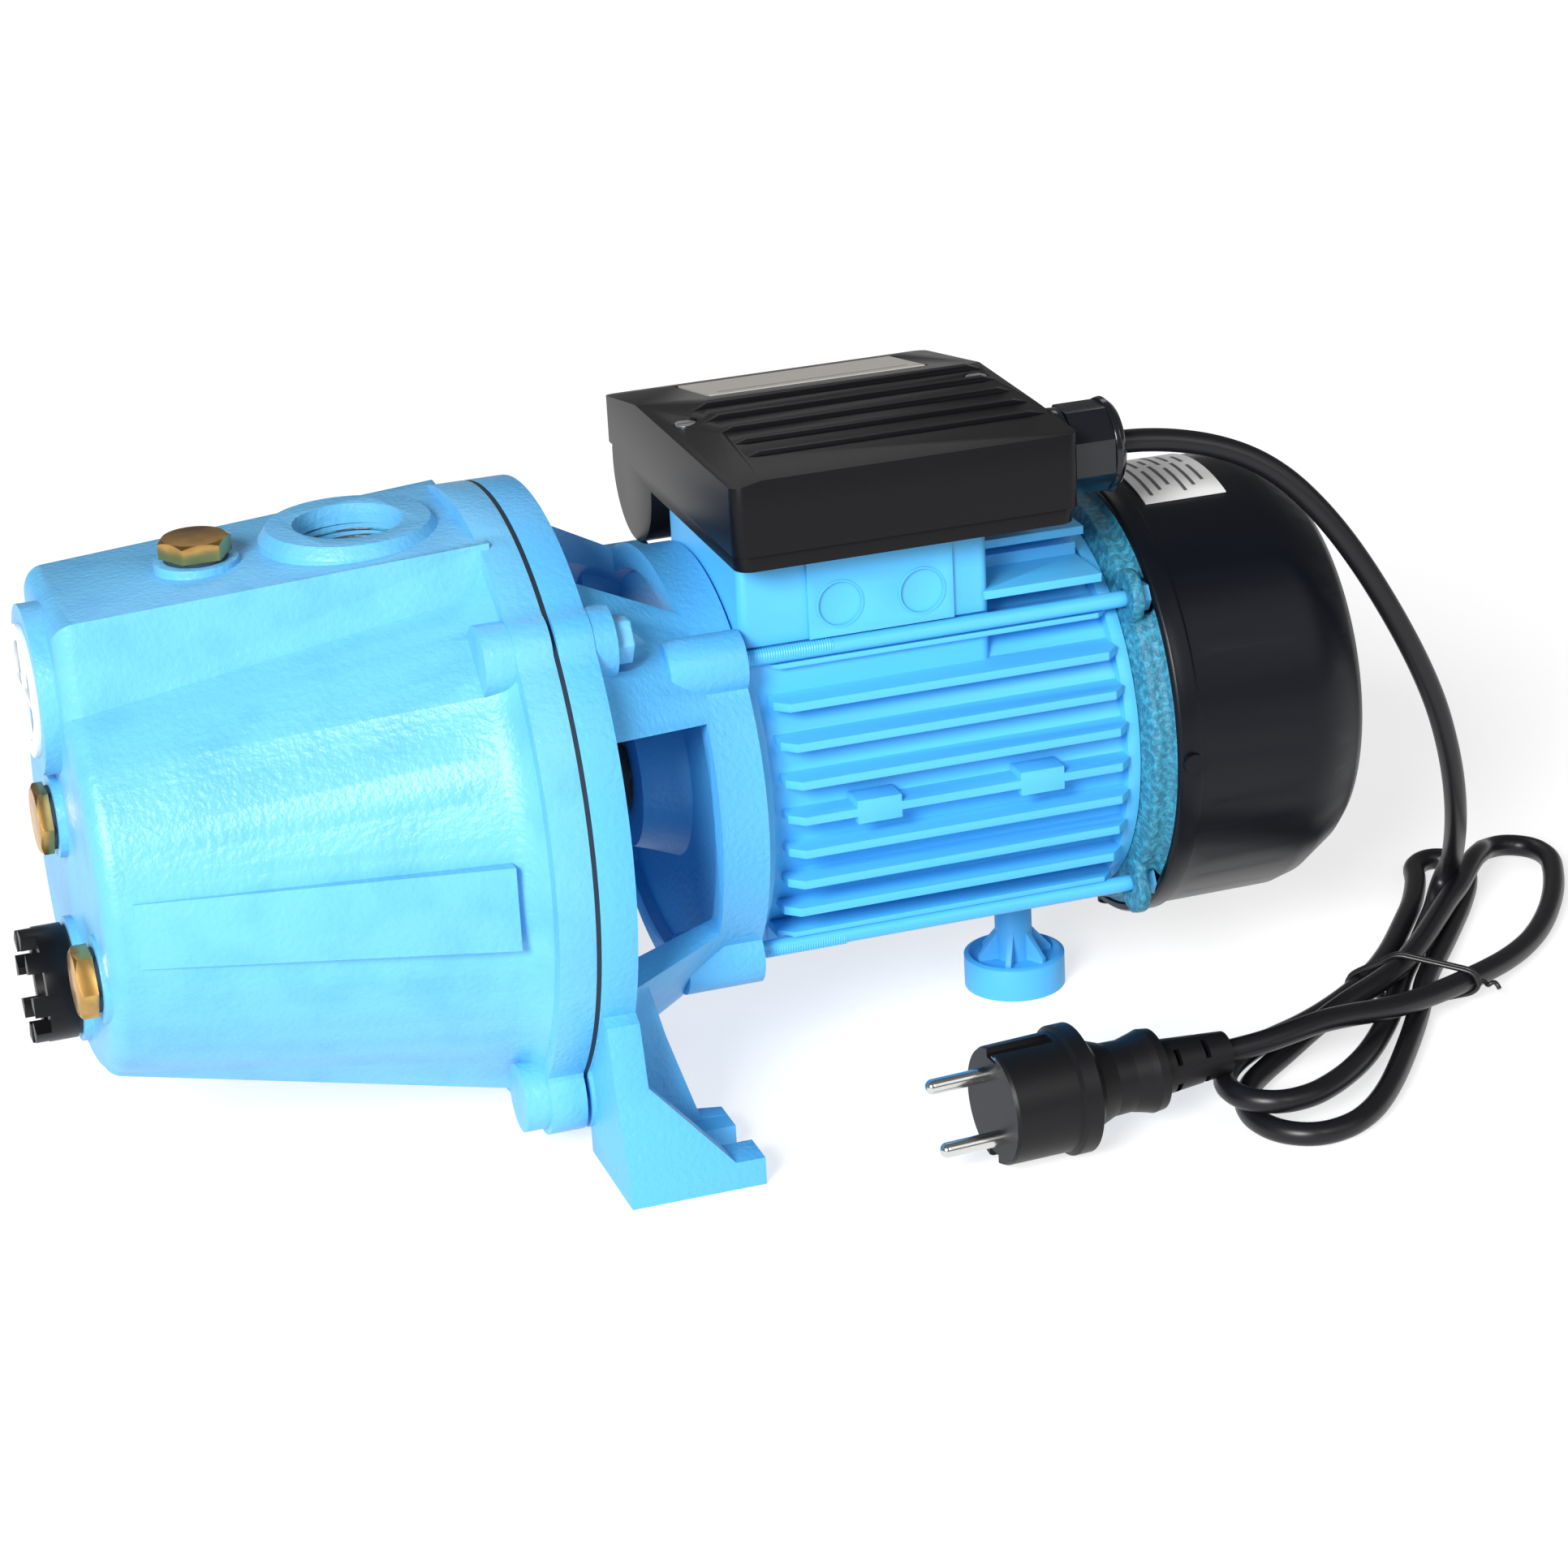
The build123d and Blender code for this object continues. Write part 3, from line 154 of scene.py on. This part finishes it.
CAST_BLUE = (0.125, 0.455, 0.775)
MOTOR_BLUE = (0.072, 0.43, 0.80)
MAT = {
    "painted_casting": material("cast_paint", CAST_BLUE, 0.40, bump=0.00030, scale=520, detail=2,
                                spots=((0.10, 0.40, 0.75), 0.45, 0.75, 60)),
    "painted_aluminium": material("motor_paint", MOTOR_BLUE, 0.42, bump=0.00005, scale=500),
    "rough_casting": material("mottled_paint", (0.016, 0.14, 0.23), 0.5, bump=0.0010, scale=520, detail=4,
                              spots=((0.035, 0.28, 0.42), 0.42, 0.66, 520)),
    "blue_plastic": material("foot_plastic", (0.055, 0.36, 0.72), 0.5),
    "black_plastic": material("box_plastic", (0.004, 0.004, 0.005), 0.36, bump=0.00003, scale=1500,
                              spec=0.19),
    "gland_plastic": material("gland_plastic", (0.006, 0.007, 0.010), 0.15),
    "cover_paint": material("cover_paint", (0.003, 0.004, 0.007), 0.33, bump=0.00002, scale=900, spec=0.2),
    "cord_jacket": material("cord_jacket", (0.006, 0.006, 0.008), 0.36, spec=0.35),
    "plug_rubber": material("plug_rubber", (0.005, 0.005, 0.006), 0.42, bump=0.00004, scale=1800, spec=0.26),
    "brass": material("brass", (0.74, 0.43, 0.13), 0.28, metal=1.0, bump=0.00003, scale=300,
                      spots=((0.42, 0.25, 0.09), 0.4, 0.7, 90)),
    "zinc_steel": material("zinc_steel", (0.55, 0.56, 0.57), 0.35, metal=1.0),
    "nickel": material("nickel", (0.72, 0.71, 0.69), 0.16, metal=1.0),
    "steel": material("steel", (0.50, 0.51, 0.53), 0.3, metal=1.0),
    "stainless": material("stainless", (0.60, 0.60, 0.61), 0.3, metal=1.0),
    "seal_rubber": material("seal_rubber", (0.02, 0.02, 0.02), 0.6),
    "gasket_fibre": material("gasket_fibre", (0.012, 0.03, 0.045), 0.8, bump=0.00004, scale=900),
    "white_plastic": material("white_plastic", (0.80, 0.83, 0.86), 0.35),
    "grey_plastic": material("grey_plastic", (0.16, 0.17, 0.18), 0.5),
    "noryl": material("noryl", (0.03, 0.03, 0.035), 0.5),
    "ceramic": material("ceramic", (0.80, 0.77, 0.72), 0.3),
    "lamination": material("lamination", (0.20, 0.20, 0.22), 0.5, metal=0.8, bump=0.0002, scale=40,
                           stretch=(60, 1, 1)),
    "copper_wire": material("copper_wire", (0.55, 0.22, 0.09), 0.35, metal=0.9, bump=0.0004, scale=60,
                            stretch=(1, 14, 14)),
    "paper_label": material("paper_label", (0.78, 0.78, 0.77), 0.5),
    "plate_metal": material("plate_metal", (0.56, 0.53, 0.49), 0.42, metal=0.35),
}
# a darker blue than the pump body's cast paint, given to the bracket, which shares the body's slot
BRACKET_DARKER_BLUE = material("bracket_darker_blue", (0.085, 0.405, 0.77), 0.42, bump=0.0003, scale=520, detail=2)
INK = material("label_ink", (0.10, 0.10, 0.11), 0.6)
PLATE_INK = material("plate_print", (0.33, 0.31, 0.29), 0.5)
PORT_THREAD = material("port_thread", (0.05, 0.30, 0.44), 0.4, bump=0.0002, scale=500,
                       spots=((0.03, 0.05, 0.06), 0.42, 0.6, 150))
# painted shade: a near-black colour for the shade in the gap at the flange joint
PAINTED_GAP_SHADE = material("painted_gap_shadow", (0.004, 0.016, 0.03), 0.7)
WIRE = material("tie_wire", (0.010, 0.010, 0.011), 0.35)

slot_of = {}
for row in frame["record"].get("materials", []):
    for name in row.get("nodes", []):
        slot_of[name] = row["slot"]


def paint(obj, mat):
    obj.data.materials.clear()
    obj.data.materials.append(mat)


for name, node in nodes.items():
    slot = slot_of.get(name) or node.data.materials[0].name
    slot_of[name] = slot
    paint(node, MAT[slot])
    node.data.shade_smooth()
    node.data.set_sharp_from_angle(angle=radians(32))


# ------------------------------------------------------------------ pieces
def linked(name, data):
    obj = bpy.data.objects.new(name, data)
    bpy.context.scene.collection.objects.link(obj)
    return obj


def add(name, mesh, mat):
    """A new piece that rides on the frame."""
    obj = linked(name, mesh)
    paint(obj, mat)
    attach(obj, "frame")


def mesh_from(name, verts, faces, angle=40):
    mesh = bpy.data.meshes.new(name)
    mesh.from_pydata([tuple(v) for v in verts], [], faces)
    mesh.validate()
    mesh.shade_smooth()
    mesh.set_sharp_from_angle(angle=radians(angle))
    return mesh


def applied(obj):
    """The object's mesh with its modifiers baked in."""
    graph = bpy.context.evaluated_depsgraph_get()
    mesh = bpy.data.meshes.new_from_object(obj.evaluated_get(graph))
    obj.modifiers.clear()
    old = obj.data
    obj.data = mesh
    bpy.data.meshes.remove(old)


def copy_of(node):
    """A new object with the CAD node's shape, welded."""
    mesh = nodes[node].data.copy()
    mesh.name = node + "_look"
    bm = bmesh.new()
    bm.from_mesh(mesh)
    bmesh.ops.remove_doubles(bm, verts=bm.verts, dist=1e-6)
    bm.to_mesh(mesh)
    bm.free()
    return linked(node + "_look", mesh)


def stands_for(obj, node, mat=None):
    """Shows obj in the CAD node's place and on its body, painted with the material of the node's slot unless
    mat is given.
    """
    paint(obj, mat or MAT[slot_of[node]])
    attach(obj, nodes[node]["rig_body"])
    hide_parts(node)


def bevelled(node, width, segments=2, mat=None):
    """Moulded or machined piece: the CAD shape with its edges broken."""
    obj = copy_of(node)
    bm = bmesh.new()
    bm.from_mesh(obj.data)
    bmesh.ops.dissolve_limit(bm, angle_limit=radians(1.5), verts=bm.verts, edges=bm.edges)
    bm.to_mesh(obj.data)
    bm.free()
    bevel = obj.modifiers.new("bevel", "BEVEL")
    bevel.width = width * MM
    bevel.segments = segments
    bevel.limit_method = "ANGLE"
    bevel.angle_limit = radians(30)
    bevel.use_clamp_overlap = True
    bevel.harden_normals = False
    applied(obj)
    obj.data.shade_smooth()
    obj.data.set_sharp_from_angle(angle=radians(35))
    stands_for(obj, node, mat)


def casting(node, voxel, smooth, lumps):
    """Sand casting: the CAD shape with soft edges and slightly uneven skin; voxel and lumps in mm."""
    obj = copy_of(node)
    remesh = obj.modifiers.new("remesh", "REMESH")
    remesh.mode = "VOXEL"
    remesh.voxel_size = voxel * MM
    soften = obj.modifiers.new("smooth", "SMOOTH")
    soften.factor = 0.5
    soften.iterations = smooth
    texture = bpy.data.textures.new(node + "_skin", "CLOUDS")
    texture.noise_scale = 0.012
    texture.noise_depth = 2
    skin = obj.modifiers.new("skin", "DISPLACE")
    skin.texture = texture
    skin.texture_coords = "GLOBAL"
    skin.mid_level = 0.75
    skin.strength = lumps * MM
    applied(obj)
    obj.data.shade_smooth()
    stands_for(obj, node)


def across(axis):
    """The axis as a unit vector, and two unit vectors square to it."""
    z = Vector(axis).normalized()
    x = z.orthogonal().normalized()
    return x, z.cross(x), z


def turned(name, profile, start, axis, steps=64):
    """Ring of revolution: profile is a closed outline of (along, radius) in mm from start along axis."""
    x, y, z = across(axis)
    verts, faces = [], []
    count = len(profile)
    for i in range(steps):
        a = 2 * pi * i / steps
        for along, r in profile:
            verts.append((Vector(start) + z * along + (x * cos(a) + y * sin(a)) * r) * MM)
    for i in range(steps):
        for j in range(count):
            a, b = i * count + j, i * count + (j + 1) % count
            c, d = (i + 1) % steps * count + (j + 1) % count, (i + 1) % steps * count + j
            faces.append((a, b, c, d))
    mesh = mesh_from(name, verts, faces)
    bm = bmesh.new()
    bm.from_mesh(mesh)
    bmesh.ops.recalc_face_normals(bm, faces=bm.faces)
    bm.to_mesh(mesh)
    bm.free()
    return mesh


def slab(name, low, high, bevel):
    """Rectangular block between two corners, with its edges broken; all in mm."""
    bm = bmesh.new()
    for v in bmesh.ops.create_cube(bm, size=1)["verts"]:
        v.co = Vector([low[i] if v.co[i] < 0 else high[i] for i in range(3)]) * MM
    bmesh.ops.bevel(bm, geom=bm.edges[:], offset=bevel * MM, segments=2, affect="EDGES", profile=0.5)
    mesh = bpy.data.meshes.new(name)
    bm.to_mesh(mesh)
    bm.free()
    mesh.shade_smooth()
    mesh.set_sharp_from_angle(angle=radians(35))
    return mesh


def thread(name, start, axis, length, radius, pitch, depth, steps, inside=False):
    """Helical V ridges on (or in) a cylinder, open at both ends, as one sheet."""
    x, y, z = across(axis)
    rows = int(length / pitch * 6)
    verts, faces = [], []
    for j in range(rows + 1):
        along = length * j / rows
        for i in range(steps):
            a = 2 * pi * i / steps
            phase = (along / pitch + i / steps) % 1
            ridge = 1 - abs(2 * phase - 1)
            r = radius + (-depth if inside else depth) * ridge
            verts.append((Vector(start) + z * along + (x * cos(a) + y * sin(a)) * r) * MM)
    for j in range(rows):
        for i in range(steps):
            k = (i + 1) % steps
            quad = (j * steps + i, j * steps + k, (j + 1) * steps + k, (j + 1) * steps + i)
            faces.append(quad[::-1] if inside else quad)
    return mesh_from(name, verts, faces, 60)


# -------------------------------------------------------------------- cord
# Route of the cord's centre in mm: down from the gland, round the hank, and along to the plug
LEAD = [(138, -38, 190), (168, -38, 190), (198, -45, 181.5), (218, -53, 160), (236, -56, 130), (252, -54, 99),
        (262, -48, 72), (269, -38, 48), (277, -20, 28), (285, -4, 14), (286, 0, 5)]
HANK = [(278, -8, 4), (265, -25, 4), (253, -41, 4), (239, -57, 4), (232, -70, 4), (223, -84, 4.5),
        (211, -99, 5), (200, -114, 8), (184, -130, 10.5), (166, -141, 11.4), (151, -138, 11.4),
        (147, -122, 11.4), (157, -106, 10.5), (172, -94, 8), (190, -82, 5), (206, -72, 4), (220, -62, 4),
        (234, -51, 4), (247, -36, 4), (259, -20, 4), (271, -4, 4), (280, 14, 4), (287, 30, 4), (298, 35, 4),
        (304, 22, 4), (297, 6, 4), (285, -11, 4), (271, -29, 4), (259, -46, 4), (245, -62, 4),
        (238, -76, 4), (229, -90, 4), (217, -107, 4), (201, -129, 4), (184, -147, 4), (166, -152, 4),
        (155, -141, 4), (153, -124, 4), (163, -107, 4), (178, -97, 5), (196, -86, 8), (212, -79, 11.4),
        (229, -71.5, 11.4), (242, -59.5, 11.4), (257, -42.5, 11.4), (271, -26, 11.4), (287, -7, 11.4),
        (300, 9, 9), (311, 24, 5), (322, 33, 4), (331, 24, 4), (327, 3, 4), (312, -24, 4), (293, -48, 4),
        (273, -65, 6), (252, -78, 9), (232, -90, 11.4)]
TAIL = [(210.5, -98, 14.5), (190, -105, 19.2), (167.27, -114.58, 19.8), (145.33, -116.12, 19.8)]


def spaced(line, step):
    """The same line with points every step."""
    run = np.concatenate([[0], np.cumsum(np.linalg.norm(np.diff(line, axis=0), axis=1))])
    at = np.linspace(0, run[-1], int(round(run[-1] / step)) + 1)
    return np.stack([np.interp(at, run, line[:, i]) for i in range(3)], 1)


def rounded(points):
    """The line with its corners cut three times, ends kept."""
    line = np.array(points, float)
    for _ in range(3):
        a, b = line[:-1] * 0.75 + line[1:] * 0.25, line[:-1] * 0.25 + line[1:] * 0.75
        line = np.concatenate([line[:1], np.stack([a, b], 1).reshape(-1, 3), line[-1:]])
    return line


def settled(points, kept_start, kept_end, step=4.0, gap=8.0, bend=16.0, rounds=500):
    """Lets the cord come to rest.

    Strands nearer than gap push each other apart, bends tighter than bend ease, and nothing sinks
    into the floor. The first kept_start and the last kept_end points stay where they are.
    """
    line = spaced(rounded(points), step)
    home = line.copy()
    index = np.arange(len(line))
    apart = np.abs(index[:, None] - index[None]) * step > 20    # not neighbours along the cord
    free = ((index >= kept_start) & (index < len(line) - kept_end)).astype(float)[:, None]
    for _ in range(rounds):
        away = line[:, None] - line[None]
        distance = np.linalg.norm(away, axis=2) + 1e-9
        push = np.where(apart & (distance < gap), (gap - distance) / distance * 0.45, 0)
        move = (away * push[:, :, None]).sum(1)
        middle = 0.5 * (line[:-2] + line[2:]) - line[1:-1]
        sag = np.linalg.norm(middle, axis=1)
        over = np.clip(sag - step ** 2 / (2 * bend), 0, None) / (sag + 1e-9)
        move[1:-1] += middle * (0.9 * over + 0.05)[:, None]
        line += free * (move + 0.008 * (home - line))
        line[:, 2] = np.maximum(line[:, 2], CORD_D / 2 + 0.15)
        run = np.diff(line, axis=0)
        length = np.linalg.norm(run, axis=1)[:, None]
        slack = run / length * (length - step) * 0.4
        line[:-1] += free[:-1] * slack
        line[1:] -= free[1:] * slack
    return line


def spline_piece(name, points, radius, mat):
    """Round bar along a smooth curve; points and radius in mm."""
    curve = bpy.data.curves.new(name, "CURVE")
    curve.dimensions = "3D"
    curve.bevel_depth = radius * MM
    curve.bevel_resolution = 6
    curve.use_fill_caps = True
    curve.resolution_u = 6
    spline = curve.splines.new("NURBS")
    spline.points.add(len(points) - 1)
    for point, place in zip(spline.points, points):
        point.co = (*[float(v) * MM for v in place], 1)
    spline.order_u = 3
    spline.use_endpoint_u = True
    obj = linked(name, curve)
    paint(obj, mat)
    return obj


resting = settled(LEAD + HANK + TAIL, kept_start=44, kept_end=22)
route = np.concatenate([resting[:-1:3], resting[-1:]])    # every third point, and the end
cord = spline_piece("mains_cord", route, CORD_D / 2, MAT["cord_jacket"])
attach(cord, "frame")
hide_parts("cord_lead", "cord_hank", "cord_tail")

# -------------------------------------------------- castings and the motor
bevelled("pump_body", 1.1, segments=3)
bevelled("motor_bracket", 1.0, segments=3, mat=BRACKET_DARKER_BLUE)
casting("rear_end_shield", 1.1, smooth=2, lumps=0.4)
bevelled("fan_cover", 0.35, segments=1)
for node, width in (("motor_housing", 0.55), ("terminal_box_lid", 0.7), ("terminal_box_base", 0.6),
                    ("support_foot", 0.5), ("priming_plug", 0.45), ("drain_plug", 0.45), ("gauge_plug", 0.45),
                    ("cleanout_plug", 0.6), ("casing_bolts", 0.5), ("gland_body", 0.5), ("gland_nut", 0.6),
                    ("suction_thread_protector", 0.3)):
    bevelled(node, width)

# dark ring of painted shade in the gap between the pump body's flange and the bracket
FLANGE_R = 94.9
GAP_W = 2.3
gap_shade = turned("flange_gap_shade", [(0, 88), (0, FLANGE_R), (GAP_W, FLANGE_R), (GAP_W, 88)], (-34.4, 0, SHAFT_Z),
               (1, 0, 0), steps=96)
add("flange_gap_shade", gap_shade, PAINTED_GAP_SHADE)

port = thread("discharge_thread", (DISCHARGE_X, 0, 165.5), (0, 0, 1), 17.0, 17.4, 2.31, 1.25, steps=72,
              inside=True)
add("discharge_thread", port, PORT_THREAD)

for k, (side, level) in enumerate([(-1, -1), (-1, 1), (1, -1), (1, 1)]):
    start = (28.5, side * ROD_OFFSET, SHAFT_Z + level * ROD_OFFSET)
    rod = thread("rod_thread", start, (1, 0, 0), 28, 2.0, 0.8, 0.32, steps=16)
    add("tie_rod_thread_%d" % (k + 1), rod, MAT["painted_aluminium"])

# --------------------------------------------------------------------- tie
def hull(points):
    """Outline round flat points, anticlockwise."""
    points = sorted(set(points))
    halves = []
    for run in (points, points[::-1]):
        side = []
        for p in run:
            while len(side) > 1 and ((side[-1][0] - side[-2][0]) * (p[1] - side[-2][1])
                                     <= (side[-1][1] - side[-2][1]) * (p[0] - side[-2][0])):
                side.pop()
            side.append(p)
        halves += side[:-1]
    return halves


def tie_loop(line, center, along, radius=0.75, turns=2):
    """Wire wound tightly round the strands that pass near center, with its end bent off to one side."""
    along = Vector(along).normalized()
    side = along.cross(Vector((0, 0, 1))).normalized()
    local = [Vector(p) - Vector(center) for p in line]
    near = [v for v in local if abs(v.dot(along)) < 2.1 and v.length < 34]    # strands through the tie
    reach = CORD_D / 2 + radius
    ring = hull([(round(v.dot(side) + reach * cos(a), 3), round(max(v.z + reach * sin(a), radius + 0.1), 3))
                 for v in near for a in [k * pi / 8 for k in range(16)]])
    ring = spaced(np.array([(x, z, 0) for x, z in ring + ring[:1]]), 2.5)[:-1]
    first = int(np.argmax(ring[:, 0]))
    points = []
    for i in range(turns * len(ring) + 1):
        x, z, _ = ring[(first + i) % len(ring)]
        points.append(Vector(center) + side * x + along * (1.7 * i / len(ring) - 1.7))
        points[-1].z = z
    out = points[-1]
    for i in range(1, 6):
        lift = Vector((0, 0, cos(i * 1.9) - 0.2 * i))
        points.append(out + side * (1.2 * i) + along * (1.2 * sin(i * 1.9)) + lift)
    curve = spline_piece("tie_curve", points, radius, WIRE)
    graph = bpy.context.evaluated_depsgraph_get()
    mesh = bpy.data.meshes.new_from_object(curve.evaluated_get(graph))
    bpy.data.objects.remove(curve)
    for v in mesh.vertices:
        v.co.z = max(v.co.z, 0.0002)
    add("tie_wire", mesh, WIRE)


tie_loop(resting, (238, -67, 0), (0.62, 0.78, 0))


# ------------------------------------------- plates, labels, small details
PRINT_LIFT = 0.00006    # print stands this far off its plate, in m


def strips(name, rows, mat):
    """One flat strip for each row of points, where the points come in pairs across the strip."""
    verts, faces = [], []
    for row in rows:
        base = len(verts)
        verts += row
        faces += [(base + i, base + i + 1, base + i + 3, base + i + 2) for i in range(0, len(row) - 2, 2)]
    add(name, mesh_from(name, verts, faces), mat)


def plate_print():
    """Plain bars on the sloping rating plate, in place of its print."""
    low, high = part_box("rating_plate")
    size = high - low
    slope = (size.z - 0.0004) / size.y
    # start and end along the plate, distance from its upper edge and height, as shares of its size
    bars = [(0.06, 0.94, 0.80, 0.07), (0.06, 0.55, 0.66, 0.035), (0.62, 0.94, 0.66, 0.035),
            (0.06, 0.42, 0.52, 0.035), (0.50, 0.94, 0.52, 0.035), (0.06, 0.70, 0.38, 0.035),
            (0.06, 0.94, 0.18, 0.02)]
    rows = []
    for start, end, down, height in bars:
        row = []
        for y in (low.y + size.y * (1 - down - height), low.y + size.y * (1 - down)):
            for x in (low.x + size.x * start, low.x + size.x * end):
                row.append((x, y, high.z - (y - low.y) * slope + PRINT_LIFT))
        rows.append(row)
    strips("plate_print", rows, PLATE_INK)


def label_print():
    """Six broken lines round the fan cover's label, in place of its print."""
    low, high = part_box("fan_cover_label")
    axis_z = SHAFT_Z * MM
    label_r = high.z - axis_z + 0.00008
    steps = 6
    rows = []
    for line in range(6):
        x = low.x + 0.003 + line * 0.0038
        left = (-15 + line % 3 * 2, 2 - line % 2 * 3)
        right = (4 - line % 2 * 2, 15 - line % 3 * 3)
        for start, end in (left, right):
            row = []
            for i in range(steps + 1):
                a = radians(start + (end - start) * i / steps)
                y, z = label_r * sin(a), axis_z + label_r * cos(a)
                row += [(x, y, z), (x + 0.0012, y, z)]
            rows.append(row)
    strips("label_print", rows, INK)


def knockout_rims():
    """Raised rings round the two round blanks under the terminal box."""
    profile = [(-0.4, 7.6), (0.35, 7.4), (0.35, 6.9), (-0.4, 6.7)]
    for k, x in enumerate((60, 86)):
        rim = turned("knockout_rim", profile, (x, PAD_Y, 156), (0, -1, 0))
        add("knockout_rim_%d" % (k + 1), rim, MAT["painted_aluminium"])


def earth_contacts():
    """Sprung earth strips in the two grooves of the mains plug."""
    at_plug = Matrix.Translation(Vector(PLUG_FACE) * MM) @ Matrix.Rotation(radians(PLUG_YAW), 4, "Z")
    for k, z in enumerate((-15.2, 15.2)):
        strip = slab("earth_contact", (0.6, -1.9, z - 0.35), (18.4, 1.9, z + 0.35), 0.2)
        strip.transform(at_plug)
        add("earth_contact_%d" % (k + 1), strip, MAT["nickel"])


plate_print()
knockout_rims()
earth_contacts()
label_print()

# ------------------------------------------------------------ stage, light
FLOOR_HALF = 15    # m


def pale_floor():
    """Plain floor that glows a little, so that it stays white under a dark sky."""
    mesh = bpy.data.meshes.new("floor")
    h = FLOOR_HALF
    mesh.from_pydata([(-h, -h, 0), (h, -h, 0), (h, h, 0), (-h, h, 0)], [], [(0, 1, 2, 3)])
    floor = linked("floor", mesh)
    mat = material("floor_white", (0.42, 0.42, 0.42), 0.9, spec=0.0)
    surface = mat.node_tree.nodes["Principled BSDF"].inputs
    surface["Emission Color"].default_value = (1, 1, 1, 1)
    surface["Emission Strength"].default_value = 0.68
    paint(floor, mat)


def dim_world():
    world = bpy.data.worlds.new("studio")
    world.use_nodes = True
    background = world.node_tree.nodes["Background"].inputs
    background["Color"].default_value = (1, 1, 1, 1)
    background["Strength"].default_value = 0.16
    bpy.context.scene.world = world


def lamp(name, data, place, target=(0, 0, 0)):
    """Puts a light at place, shining at target."""
    obj = linked(name, data)
    aim = (Vector(target) - Vector(place)).to_track_quat("-Z", "Y")
    obj.matrix_world = Matrix.Translation(place) @ aim.to_matrix().to_4x4()


def area(name, place, target, size, power):
    data = bpy.data.lights.new(name, "AREA")
    data.shape = "RECTANGLE"
    data.size, data.size_y = size
    data.energy = power
    lamp(name, data, place, target)


def sun(name, place, power, angle):
    data = bpy.data.lights.new(name, "SUN")
    data.energy = power
    data.angle = radians(angle)
    lamp(name, data, place)


pale_floor()
dim_world()
bpy.context.scene.view_settings.view_transform = "Standard"
sun("key", (-0.98, -1.15, 0.78), 3.7, 20)
sun("fill", (0.9, -0.9, 0.7), 0.35, 40)
area("softbox", (-1.2, -1.3, 0.9), (-0.05, 0, 0.1), (0.5, 0.9), 10)
area("strip", (0.5, -1.6, 1.1), (0.15, 0, 0.1), (0.25, 0.9), 5)
area("back", (0.2, 1.2, 1.3), (0, 0, 0.1), (1.0, 0.4), 2.5)
